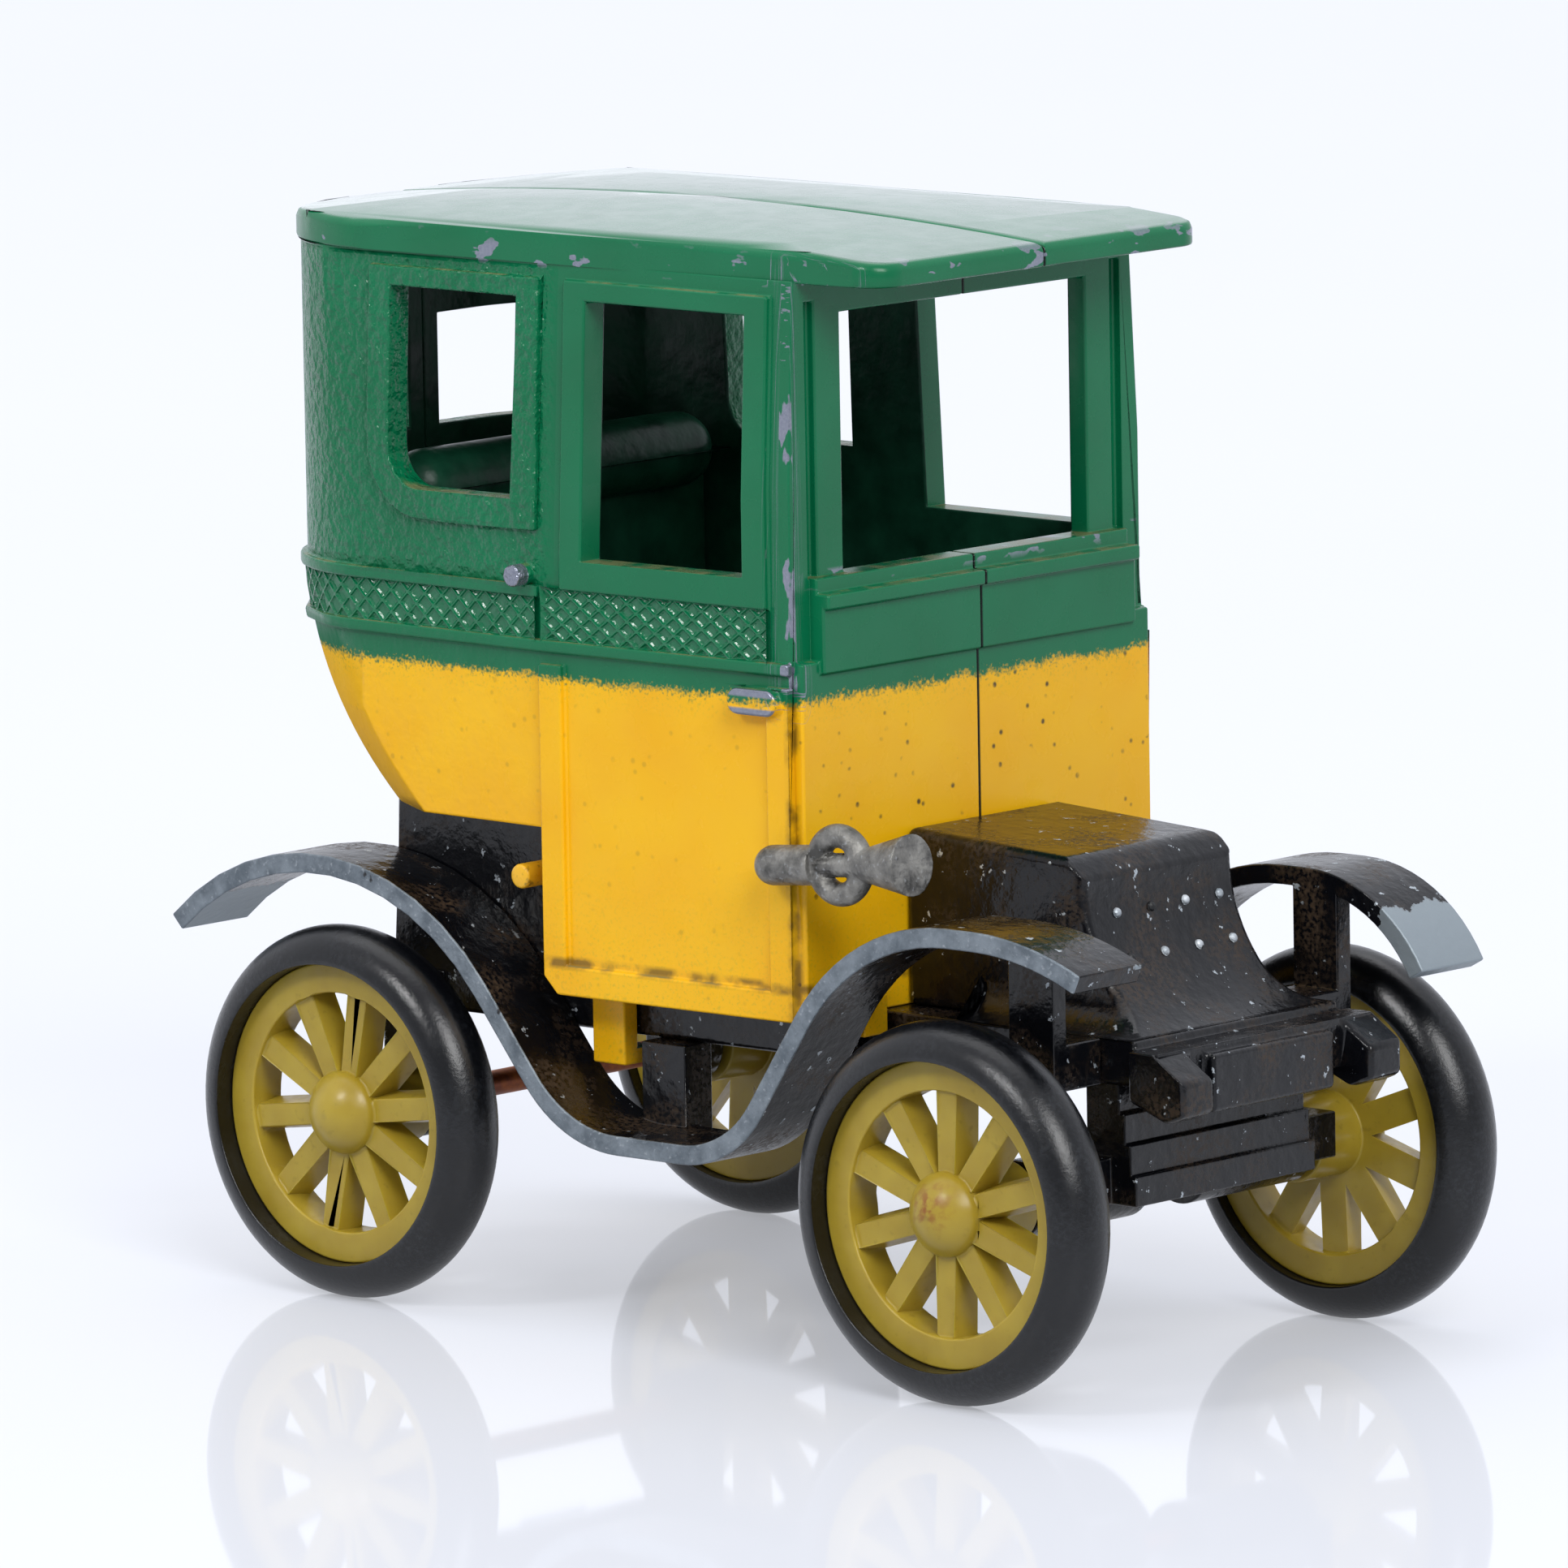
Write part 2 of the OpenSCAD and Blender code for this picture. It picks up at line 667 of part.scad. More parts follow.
// rear box, open above and below, closed by the cab's floor
module rear_box() {
    half = frame_w_rear / 2;
    difference() {
        translate([box_rear, -half, box_z]) cube([box_len, 2 * half, rear_floor_z - box_z]);
        translate([box_rear + box_wall, -half + box_wall, box_z - past])
            cube([box_len - 2 * box_wall, 2 * (half - box_wall), rear_floor_z - box_z + 2 * past]);
    }
    both_sides() rear_bearing();
}

// a bearing hangs from the box's rear corner
module rear_bearing() {
    across(rear_bearing_out - lug_w, rear_bearing_out) {
        translate([rear_axle_x, rear_axle_z]) circle(lug_r);
        rect(rear_axle_x - lug_r, rear_axle_z, 2 * lug_r, box_z + lug_w - rear_axle_z);
    }
    translate([rear_axle_x - lug_r, frame_w_rear / 2 - box_wall, box_z])
        cube([2 * lug_r, box_wall, lug_w]);
}

module floor_plate() {
    half = frame_w_rear / 2;
    translate([door_rear, -half, frame_z]) cube([door_len, 2 * half, frame_h]);
    translate([door_rear, -frame_w_front / 2, frame_z])
        cube([beam_front - beam_d - door_rear, frame_w_front, frame_h]);
}

// beam across the front, with a dumb iron at each end and a plate in the middle
module front_beam() {
    translate([beam_front - beam_d, -beam_w / 2, beam_z]) cube([beam_d, beam_w, beam_h]);
    iron_z = beam_z - 0.4;
    both_sides() across(beam_w / 2 - iron_w, beam_w / 2 + 0.2) polygon([[beam_front - beam_d, beam_z + beam_h],
        [beam_front - 0.2, beam_z + beam_h], [beam_front + iron_len, iron_z + iron_h],
        [beam_front + iron_len, iron_z], [beam_front + iron_len / 3, iron_z - 0.5], [beam_front - beam_d, beam_z]]);
    translate([beam_front - beam_d, -plate_w / 2, beam_z - 0.8])
        cube([beam_d + plate_out, plate_w, beam_h + 0.4]);
}

module chassis_frame() {
    color(BLACK) on_body() difference() {
        union() {
            rear_box();
            floor_plate();
            front_beam();
        }
        across(-far, far) translate([rear_axle_x, rear_axle_z]) circle(bearing_r);
        across(-far, far) translate([pin_x, pin_z]) circle(pin_hole_r);
    }
}

// side view of the bonnet, moved inwards by g: flat top, then a hollow curve down to the apron
nose_x = cab_front + bonnet_top_len + nose_chamfer + nose_r;
nose_z = bonnet_nose_z - nose_chamfer;
bonnet_gap = front_panel_out + 0.05;
apron_front = beam_front - beam_d - 0.3;
module bonnet_side(g) {
    difference() {
        polygon([[cab_front + bonnet_gap + g, door_z], [cab_front + bonnet_gap + g, bonnet_rear_z - g],
            [cab_front + bonnet_top_len - g, bonnet_nose_z - g], [nose_x - nose_r - g, nose_z - g],
            [apron_front - g, nose_z - g], [apron_front - g, door_z]]);
        translate([nose_x, nose_z]) circle(nose_r + g);
    }
}

// the apron widens the nose to the frame's width with a hollow flare
module apron() {
    flare = (frame_w_front - bonnet_w) / 2;
    intersection() {
        across(-far, far) bonnet_side(0);
        both_sides() along(cab_front + bonnet_top_len / 2, apron_front) difference() {
            rect(bonnet_w / 2, door_z, flare, flare);
            translate([bonnet_w / 2 + flare, door_z + flare]) circle(flare);
        }
    }
}

module bonnet() {
    color(BLACK) on_body() {
        difference() {
            across(-bonnet_w / 2, bonnet_w / 2) bonnet_side(0);
            intersection() {
                across(-bonnet_w / 2 + bonnet_wall, bonnet_w / 2 - bonnet_wall) bonnet_side(bonnet_wall);
                translate([-far, -far, door_z - past]) cube([2 * far, 2 * far, far]);
            }
        }
        apron();
    }
}

// leaves of the spring block, each a little shorter than the one above, and a bearing on each side
module front_spring() {
    leaf_h = (frame_z - spring_z) / leaf_count;
    leaf_step = 0.35;
    color(BLACK) on_body() difference() {
        union() {
            for (i = [0 : leaf_count - 1]) translate([spring_front - spring_d, -spring_w / 2, spring_z + i * leaf_h])
                cube([spring_d - i * leaf_step, spring_w, leaf_h]);
            both_sides() across(bearing_in, front_bearing_out) {
                translate([front_axle_x, front_axle_z]) circle(lug_r);
                rect(front_axle_x, spring_z, spring_front - spring_d / 2 - front_axle_x,
                    front_axle_z + lug_r - spring_z);
            }
        }
        across(-far, far) translate([front_axle_x, front_axle_z]) circle(bearing_r);
    }
}

// right mudguards and running board in one strip, with a stay at the front and a bracket at the board
stay_x = axle_x + 0.7;
bracket_x = -board_rear - 1.6;
module right_guard(tip) {
    across(-guard_out, -guard_in) polygon(concat(guard_edge(guard_t, tip), backwards(guard_edge(0, tip))));
    translate([stay_x, -guard_in - stay_t, frame_z]) cube([stay_w, stay_t, front_arch_z - frame_z + guard_t / 2]);
    translate([stay_x, -guard_in, frame_z]) cube([stay_w, guard_in - frame_w_front / 2, frame_h]);
    translate([bracket_x, -guard_in - stay_t, board_z + guard_t / 2])
        cube([stay_w, 2 * stay_t, frame_z - board_z - guard_t / 2]);
}

module mudguard_right() {
    color(BLACK) on_body() right_guard(tip_r);
}

module mudguard_left() {
    color(BLACK) on_body() mirror([0, 1, 0]) right_guard(left_tip_r);
}

// bench and back, cut to the cab's inside, with a round-ended bolster along the top of the back
module bench_seat() {
    bolster_r = bolster_d / 2;
    bolster_x = cab_front - bolster_front - bolster_r;
    bolster_z = bolster_top - bolster_r;
    bench_x = cab_front - bench_front;
    floor_z = rear_floor_z + cab_wall;
    color(GREEN) on_body() {
        difference() {
            intersection() {
                cab_bulk(-cab_wall - seat_gap);
                translate([cab_rear, -far, 0]) cube([bench_x - cab_rear, 2 * far, bolster_z]);
            }
            translate([bolster_x, -far, floor_z + bench_h]) cube([far, 2 * far, far]);
        }
        intersection() {
            cab_bulk(-cab_wall);
            translate([bolster_x, -bolster_len / 2 + past, rear_floor_z])
                cube([bench_x - bolster_x, bolster_len - 2 * past, cab_wall + 2 * seat_gap]);
        }
        across(-bolster_len / 2 + bolster_r, bolster_len / 2 - bolster_r) translate([bolster_x, bolster_z])
            circle(bolster_r);
        for (side = [-1, 1]) translate([bolster_x, side * (bolster_len / 2 - bolster_r), bolster_z])
            sphere(bolster_r);
    }
}

module cross_pin() {
    color("#f0c030") on_body() across(-pin_len / 2, pin_len / 2) translate([pin_x, pin_z]) circle(pin_d / 2);
}

// bulb, tube with one loop, bell, and the peg into the cab's corner post
module bulb_horn() {
    front = cab_front + bulb_front;
    loop_r = (loop_d - tube_d) / 2;
    loop_x = front + loop_r;
    bell_x = loop_x + loop_r / 2;
    color(ZINC) on_body() translate([peg_x, -horn_y, horn_z]) rotate([0, -horn_tilt, 0]) translate([-peg_x, 0, 0]) {
        translate([front - bulb_len, 0, 0]) sphere(bulb_d / 2);
        translate([front - bulb_len, 0, 0]) rotate([0, 90, 0]) cylinder(d = bulb_d, h = bulb_len);
        translate([front - past, 0, 0]) rotate([0, 90, 0]) cylinder(d = tube_d, h = bell_x - front + past);
        translate([loop_x, 0, 0]) rotate([90, 0, 0]) rotate_extrude() translate([loop_r, 0]) circle(d = tube_d);
        translate([bell_x, 0, 0]) rotate([0, 90, 0]) cylinder(d1 = tube_d, d2 = bell_d, h = bell_len);
        across(0, horn_y - cab_front_w / 2 + cab_wall) translate([peg_x, 0]) circle(peg_d / 2);
    }
}

module axle(x, track) {
    length = track + 2 * (hub_out - dome_h);
    color(RUST) translate([x, length / 2, axle_z]) rotate([90, 0, 0]) cylinder(d = axle_d, h = length);
}

module front_axle() {
    axle(centre_x + axle_x, front_track);
}

module rear_axle() {
    axle(centre_x - axle_x, rear_track);
}

// where a wheel stands: its outer side is +Z before it is set up, side is -1 on the right and 1 on the left
module at_wheel(x, track, side) {
    translate([centre_x + x, side * track / 2, axle_z]) rotate([-side * 90, 0, 0]) children();
}

module wheel(turn) {
    hub_r = hub_d / 2;
    rim_r = rim_d / 2;
    dome_r = (hub_r * hub_r + dome_h * dome_h) / (2 * dome_h);
    dome_z = hub_out - dome_h;
    spoke_in = (hub_r + axle_d / 2) / 2;
    color(YELLOW) {
        rotate_extrude() translate([rim_r - rim_wall, rim_face - rim_w]) square([rim_wall, rim_w]);
        for (i = [0 : spoke_count - 1]) rotate([0, 0, turn + i * 360 / spoke_count])
            translate([spoke_in, 0, rim_face - 0.3]) rotate([0, 90, 0]) linear_extrude(rim_r - rim_wall / 2 - spoke_in)
                polygon([[0, -spoke_w / 2], [0, spoke_w / 2], [spoke_h, spoke_w / 2 + spoke_flare],
                    [spoke_h, -spoke_w / 2 - spoke_flare]]);
        difference() {
            translate([0, 0, -hub_in]) cylinder(r = hub_r, h = hub_in + dome_z);
            translate([0, 0, -hub_in - past]) cylinder(d = axle_d, h = hub_in + past + dome_z);
        }
        intersection() {
            translate([0, 0, hub_out - dome_r]) sphere(dome_r);
            translate([0, 0, dome_z]) cylinder(r = hub_d, h = dome_h + past);
        }
    }
}

module tyre() {
    section_r = tyre_section_d / 2;
    color(BLACK) rotate_extrude() difference() {
        translate([tyre_d / 2 - section_r, 0]) circle(section_r);
        translate([0, -section_r - past]) square([rim_d / 2, tyre_section_d + 2 * past]);
    }
}

cab_right();
cab_left();
chassis_frame();
bonnet();
front_spring();
mudguard_right();
mudguard_left();
bench_seat();
cross_pin();
bulb_horn();
front_axle();
rear_axle();
at_wheel(axle_x, front_track, -1) wheel(wheel_turns[0]);  // wheel_front_right
at_wheel(axle_x, front_track, 1) wheel(wheel_turns[1]);  // wheel_front_left
at_wheel(-axle_x, rear_track, -1) wheel(wheel_turns[2]);  // wheel_rear_right
at_wheel(-axle_x, rear_track, 1) wheel(wheel_turns[3]);  // wheel_rear_left
at_wheel(axle_x, front_track, -1) tyre();  // tyre_front_right
at_wheel(axle_x, front_track, 1) tyre();  // tyre_front_left
at_wheel(-axle_x, rear_track, -1) tyre();  // tyre_rear_right
at_wheel(-axle_x, rear_track, 1) tyre();  // tyre_rear_left
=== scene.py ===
import math

import bmesh
import bpy
from mathutils import Matrix, Vector


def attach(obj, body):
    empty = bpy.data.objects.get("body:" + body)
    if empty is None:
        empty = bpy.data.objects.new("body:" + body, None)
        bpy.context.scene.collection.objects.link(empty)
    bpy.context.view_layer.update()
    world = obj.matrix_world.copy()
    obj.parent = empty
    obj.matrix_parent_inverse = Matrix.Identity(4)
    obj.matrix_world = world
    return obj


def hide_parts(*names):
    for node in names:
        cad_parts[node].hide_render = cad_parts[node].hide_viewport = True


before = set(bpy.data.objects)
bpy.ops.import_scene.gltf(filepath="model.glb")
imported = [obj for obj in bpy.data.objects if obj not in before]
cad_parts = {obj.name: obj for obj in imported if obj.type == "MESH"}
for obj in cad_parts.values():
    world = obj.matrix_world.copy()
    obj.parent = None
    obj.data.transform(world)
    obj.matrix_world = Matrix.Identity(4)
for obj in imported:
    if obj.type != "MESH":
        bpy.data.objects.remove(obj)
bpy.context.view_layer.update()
mm = 0.001

# The body stands nose-up on its axles. These turn places between the scene, in metres,
# and the body's own level frame, in mm.
stance = {"angle": math.radians(1.5), "axleHeight": 9.5, "middle": 1.595}
turnSin = math.sin(stance["angle"])
turnCos = math.cos(stance["angle"])
print("frame loaded:", len(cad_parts), "nodes")


def bodyToScene(x, y, z):
    rise = z - stance["axleHeight"]
    return Vector((x * turnCos - rise * turnSin + stance["middle"], y,
                   stance["axleHeight"] + x * turnSin + rise * turnCos)) * mm


def sceneToBody(place):
    x = place[0] / mm - stance["middle"]
    rise = place[2] / mm - stance["axleHeight"]
    z = stance["axleHeight"] - x * turnSin + rise * turnCos
    return x * turnCos + rise * turnSin, place[1] / mm, z


def hexColour(code):
    parts = [int(code[i:i + 2], 16) / 255 for i in (1, 3, 5)]
    return tuple(p / 12.92 if p <= 0.04045 else ((p + 0.055) / 1.055) ** 2.4 for p in parts) + (1.0,)


def addNode(tree, kind, settings, out=0):
    node = tree.nodes.new("ShaderNode" + kind)
    for key, value in settings.items():
        if isinstance(key, str) and hasattr(node, key):
            setattr(node, key, value)
        elif isinstance(value, bpy.types.NodeSocket):
            tree.links.new(value, node.inputs[key])
        else:
            node.inputs[key].default_value = hexColour(value) if isinstance(value, str) else value
    return node.outputs[out]


def noise(tree, place, width, detail, rough=0.5):
    # width is that of a blot, in mm
    return addNode(tree, "TexNoise", {"Vector": place, "Scale": 1 / width, "Detail": detail,
                                      "Roughness": rough})


def ramp(tree, value, start, end, low=0.0, high=1.0):
    # low up to start, high from end on, and even between them
    return addNode(tree, "MapRange", {"Value": value, 1: start, 2: end, 3: low, 4: high})


def maths(tree, operation, *values):
    return addNode(tree, "Math", {"operation": operation, **dict(enumerate(values))})


def blend(tree, share, first, second):
    return addNode(tree, "Mix", {"data_type": "RGBA", 0: share, 6: first, 7: second}, 2)


def startMaterial(name):
    material = bpy.data.materials.new(name)
    material.use_nodes = True
    tree = material.node_tree
    coords = addNode(tree, "TexCoord", {}, "Object")
    shift = (-stance["middle"] * turnCos - stance["axleHeight"] * turnSin, 0,
             stance["axleHeight"] + stance["middle"] * turnSin - stance["axleHeight"] * turnCos)
    # place is in mm, in the level frame
    place = addNode(tree, "Mapping", {"Vector": coords, "Location": shift, "Scale": (1000, 1000, 1000),
                                      "Rotation": (0, stance["angle"], 0)})
    return material, tree, tree.nodes["Principled BSDF"], place


# gloss enamel on cast zinc: green sprayed over yellow, so the line between them is a soft speckle
cabPaint = {"green": "#046740", "greenLight": "#066e46", "yellow": "#f6bc10", "yellowDeep": "#f2b30a",
            "dust": "#7d7a52", "zinc": "#9a9ea8", "zincDark": "#74788a", "grime": "#4f3818",
            "mist": "#7c8a30", "seam": "#0b1510"}
# where it changes on the cab, in mm
cabPlaces = {"line": 32.9, "doorFoot": 18.65, "frontCorner": 8.65, "handleOut": -13.84,
             "handleMiddle": 32.85, "eaves": 53.4, "quarter": -7.0}
# and where a change begins and ends there
cabSpans = {"mistLow": (25.0, 18.0), "mistHigh": (31.4, 32.9), "frontWall": (6.5, 9.0),
            "cornerSide": (-12.3, -12.8), "rimFoot": (53.2, 53.5), "rimTop": (55.0, 54.3),
            "postFront": (7.0, 7.9), "postSide": (-12.1, -12.8), "postFoot": (31.5, 33.5),
            "sillFoot": (38.3, 38.7), "sillTop": (39.3, 39.1), "belly": (35.0, 33.0), "roof": (53.6, 53.9),
            "beltTop": (37.3, 38.0)}


def makeCabPaint():
    material, tree, shader, place = startMaterial("greenYellowEnamel")
    axes = addNode(tree, "SeparateXYZ", {0: place}).node
    x, y, z = axes.outputs
    facing = addNode(tree, "SeparateXYZ", {0: addNode(tree, "NewGeometry", {}, "Normal")}).node.outputs[2]
    broad = noise(tree, place, 7.0, 2.0)
    blots = noise(tree, place, 1.4, 3.0)
    grains = noise(tree, place, 0.16, 3.0)
    spots = addNode(tree, "TexVoronoi", {"Vector": place, "Scale": 1 / 0.9})
    # the paint line, thrown up and down by the spray's droplets
    wave = ramp(tree, blots, 0, 1, -0.35, 0.35)
    droplets = ramp(tree, grains, 0, 1, -0.6, 0.6)
    lift = maths(tree, "ADD", wave, droplets)
    height = maths(tree, "ADD", z, lift)
    greenShare = ramp(tree, height, cabPlaces["line"] - 0.2, cabPlaces["line"] + 0.2)
    drift = ramp(tree, broad, 0.35, 0.65)
    green = blend(tree, drift, cabPaint["green"], cabPaint["greenLight"])
    yellow = blend(tree, drift, cabPaint["yellow"], cabPaint["yellowDeep"])
    # green mist over the yellow, low down and just under the line
    low = ramp(tree, z, *cabSpans["mistLow"], 0.0, 0.28)
    high = ramp(tree, z, *cabSpans["mistHigh"], 0.0, 0.45)
    ends = maths(tree, "MAXIMUM", low, high)
    droplet = ramp(tree, grains, 0.54, 0.7)
    mist = maths(tree, "MULTIPLY", ends, droplet)
    yellow = blend(tree, mist, yellow, cabPaint["mist"])
    # grime: specks on the front wall, a dark line at the door's foot and down the front corner
    front = ramp(tree, x, *cabSpans["frontWall"], 0.25, 1.0)
    speck = ramp(tree, spots, 0.2, 0.1)
    patch = ramp(tree, blots, 0.47, 0.58)
    speck = maths(tree, "MULTIPLY", speck, patch)
    speck = maths(tree, "MULTIPLY", speck, front)
    footGap = maths(tree, "SUBTRACT", z, cabPlaces["doorFoot"])
    footGap = maths(tree, "ABSOLUTE", footGap)
    foot = ramp(tree, footGap, 0.38, 0.12)
    cornerGap = maths(tree, "SUBTRACT", x, cabPlaces["frontCorner"])
    cornerGap = maths(tree, "ABSOLUTE", cornerGap)
    corner = ramp(tree, cornerGap, 0.4, 0.05)
    cornerSide = ramp(tree, y, *cabSpans["cornerSide"])
    corner = maths(tree, "MULTIPLY", corner, cornerSide)
    lines = maths(tree, "MAXIMUM", foot, corner)
    ragged = ramp(tree, blots, 0.42, 0.6, 0.1, 0.75)
    lines = maths(tree, "MULTIPLY", lines, ragged)
    grime = maths(tree, "MAXIMUM", speck, lines)
    yellow = blend(tree, grime, yellow, cabPaint["grime"])
    paint = blend(tree, greenShare, yellow, green)
    # a near-black line down the middle, where the halves meet
    seam = maths(tree, "ABSOLUTE", y)
    seam = ramp(tree, seam, 0.12, 0.06)
    paint = blend(tree, seam, paint, cabPaint["seam"])
    # dust on the ledges of the frames, beads and sills
    ledge = ramp(tree, facing, 0.75, 0.95, 0.0, 0.75)
    wall = ramp(tree, z, cabPlaces["eaves"], cabPlaces["eaves"] - 0.2)
    ledge = maths(tree, "MULTIPLY", ledge, wall)
    settled = ramp(tree, blots, 0.4, 0.6)
    ledge = maths(tree, "MULTIPLY", ledge, settled)
    paint = blend(tree, ledge, paint, cabPaint["dust"])
    # chips down to the zinc along the roof rim, the right front corner, the sills and the door handle
    rimLow = ramp(tree, z, *cabSpans["rimFoot"])
    rimHigh = ramp(tree, z, *cabSpans["rimTop"])
    rim = maths(tree, "MULTIPLY", rimLow, rimHigh)
    postX = ramp(tree, x, *cabSpans["postFront"])
    postY = ramp(tree, y, *cabSpans["postSide"])
    post = maths(tree, "MULTIPLY", postX, postY)
    postZ = ramp(tree, z, *cabSpans["postFoot"])
    post = maths(tree, "MULTIPLY", post, postZ)
    sillLow = ramp(tree, z, *cabSpans["sillFoot"])
    sillHigh = ramp(tree, z, *cabSpans["sillTop"], 0.0, 0.9)
    sill = maths(tree, "MULTIPLY", sillLow, sillHigh)
    sill = maths(tree, "MULTIPLY", sill, postX)
    edges = maths(tree, "MAXIMUM", rim, post)
    edges = maths(tree, "MAXIMUM", edges, sill)
    # each chip is drawn out along its edge: up the posts, and level on the rim and the sills
    tall = addNode(tree, "VectorMath", {"operation": "MULTIPLY", 0: place, 1: (1.0, 1.0, 0.4)}, "Vector")
    level = addNode(tree, "VectorMath", {"operation": "MULTIPLY", 0: place, 1: (0.6, 0.6, 1.4)}, "Vector")
    way = addNode(tree, "Mix", {"data_type": "VECTOR", 0: post, 4: level, 5: tall}, 1)
    wear = noise(tree, way, 1.3, 3.0)
    wear = maths(tree, "MULTIPLY_ADD", post, 0.03, wear)
    worn = ramp(tree, wear, 0.61, 0.625)
    chips = maths(tree, "MULTIPLY", edges, worn)
    # the handle and the stud are bare at their ends, with yellow left in the handle's middle
    handle = ramp(tree, y, cabPlaces["handleOut"], cabPlaces["handleOut"] - 0.06)
    grip = maths(tree, "SUBTRACT", z, cabPlaces["handleMiddle"])
    grip = maths(tree, "ABSOLUTE", grip)
    grip = ramp(tree, grip, 0.24, 0.34)
    handle = maths(tree, "MULTIPLY", handle, grip)
    chips = maths(tree, "MAXIMUM", chips, handle)
    zinc = blend(tree, grains, cabPaint["zinc"], cabPaint["zincDark"])
    colour = blend(tree, chips, paint, zinc)
    tree.links.new(colour, shader.inputs["Base Color"])
    metal = maths(tree, "MULTIPLY", chips, 0.7)
    tree.links.new(metal, shader.inputs["Metallic"])
    polish = ramp(tree, blots, 0.3, 0.7, 0.2, 0.32)
    # matt on the belly, where the walls turn under
    under = ramp(tree, facing, -0.05, -0.15)
    below = ramp(tree, z, *cabSpans["belly"])
    under = maths(tree, "MULTIPLY", under, below)
    polish = maths(tree, "MULTIPLY_ADD", under, 0.6, polish)
    tree.links.new(polish, shader.inputs["Roughness"])
    shader.inputs["Specular IOR Level"].default_value = 0.32
    top = ramp(tree, facing, 0.85, 0.95, 0.0, 0.9)
    high = ramp(tree, z, *cabSpans["roof"])
    coat = maths(tree, "MULTIPLY", top, high)
    tree.links.new(coat, shader.inputs["Coat Weight"])
    shader.inputs["Coat Roughness"].default_value = 0.05
    # orange peel everywhere, and a pebbled leather skin cast into the rear quarters above the belt
    peel = noise(tree, place, 0.55, 2.0)
    behind = ramp(tree, x, cabPlaces["quarter"], cabPlaces["quarter"] - 1.0)
    above = ramp(tree, z, *cabSpans["beltTop"], 0.15, 1.0)
    pebble = maths(tree, "MULTIPLY", behind, above)
    pebble = maths(tree, "MULTIPLY", pebble, wall)
    pebble = maths(tree, "MAXIMUM", pebble, 0.006)
    skin = maths(tree, "MULTIPLY", peel, pebble)
    bump = addNode(tree, "Bump", {"Height": skin, "Strength": 1.0, "Distance": 0.0003})
    tree.links.new(bump, shader.inputs["Normal"])
    return material


# the same green on the cane-work, run thick into its cells, so every ridge glints
def makeCanePaint():
    material, tree, shader, place = startMaterial("greenEnamelCane")
    blots = noise(tree, place, 1.4, 3.0)
    drift = ramp(tree, blots, 0.3, 0.7)
    green = blend(tree, drift, cabPaint["green"], cabPaint["greenLight"])
    tree.links.new(green, shader.inputs["Base Color"])
    polish = ramp(tree, blots, 0.3, 0.7, 0.14, 0.24)
    tree.links.new(polish, shader.inputs["Roughness"])
    # the paint's waves break the glints up
    waves = noise(tree, place, 0.8, 2.0)
    bump = addNode(tree, "Bump", {"Height": waves, "Strength": 1.0, "Distance": 0.00018})
    tree.links.new(bump, shader.inputs["Normal"])
    return material


# the same green inside, sprayed thin, so it is duller; it is also darker, as painted shade for the hollow
# of the cab and its seat
insideShadedGreen = {"green": "#0d3324", "greenLight": "#185039"}


def makeShadedInsidePaint():
    material, tree, shader, place = startMaterial("greenEnamelInsideShaded")
    blots = noise(tree, place, 2.0, 3.0)
    drift = ramp(tree, blots, 0.3, 0.7)
    colour = blend(tree, drift, insideShadedGreen["green"], insideShadedGreen["greenLight"])
    tree.links.new(colour, shader.inputs["Base Color"])
    polish = ramp(tree, blots, 0.3, 0.7, 0.28, 0.42)
    tree.links.new(polish, shader.inputs["Roughness"])
    shader.inputs["Specular IOR Level"].default_value = 0.22
    peel = noise(tree, place, 0.8, 2.0)
    bump = addNode(tree, "Bump", {"Height": peel, "Strength": 0.5, "Distance": 0.0001})
    tree.links.new(bump, shader.inputs["Normal"])
    return material


# black stoving enamel on zinc: glossy, with bright chips, and brown dust lying in its hollows
blackPaint = {"colour": "#08090d", "dust": "#4a3a2a", "chip": "#b4bcc2", "rubbed": "#939da3"}


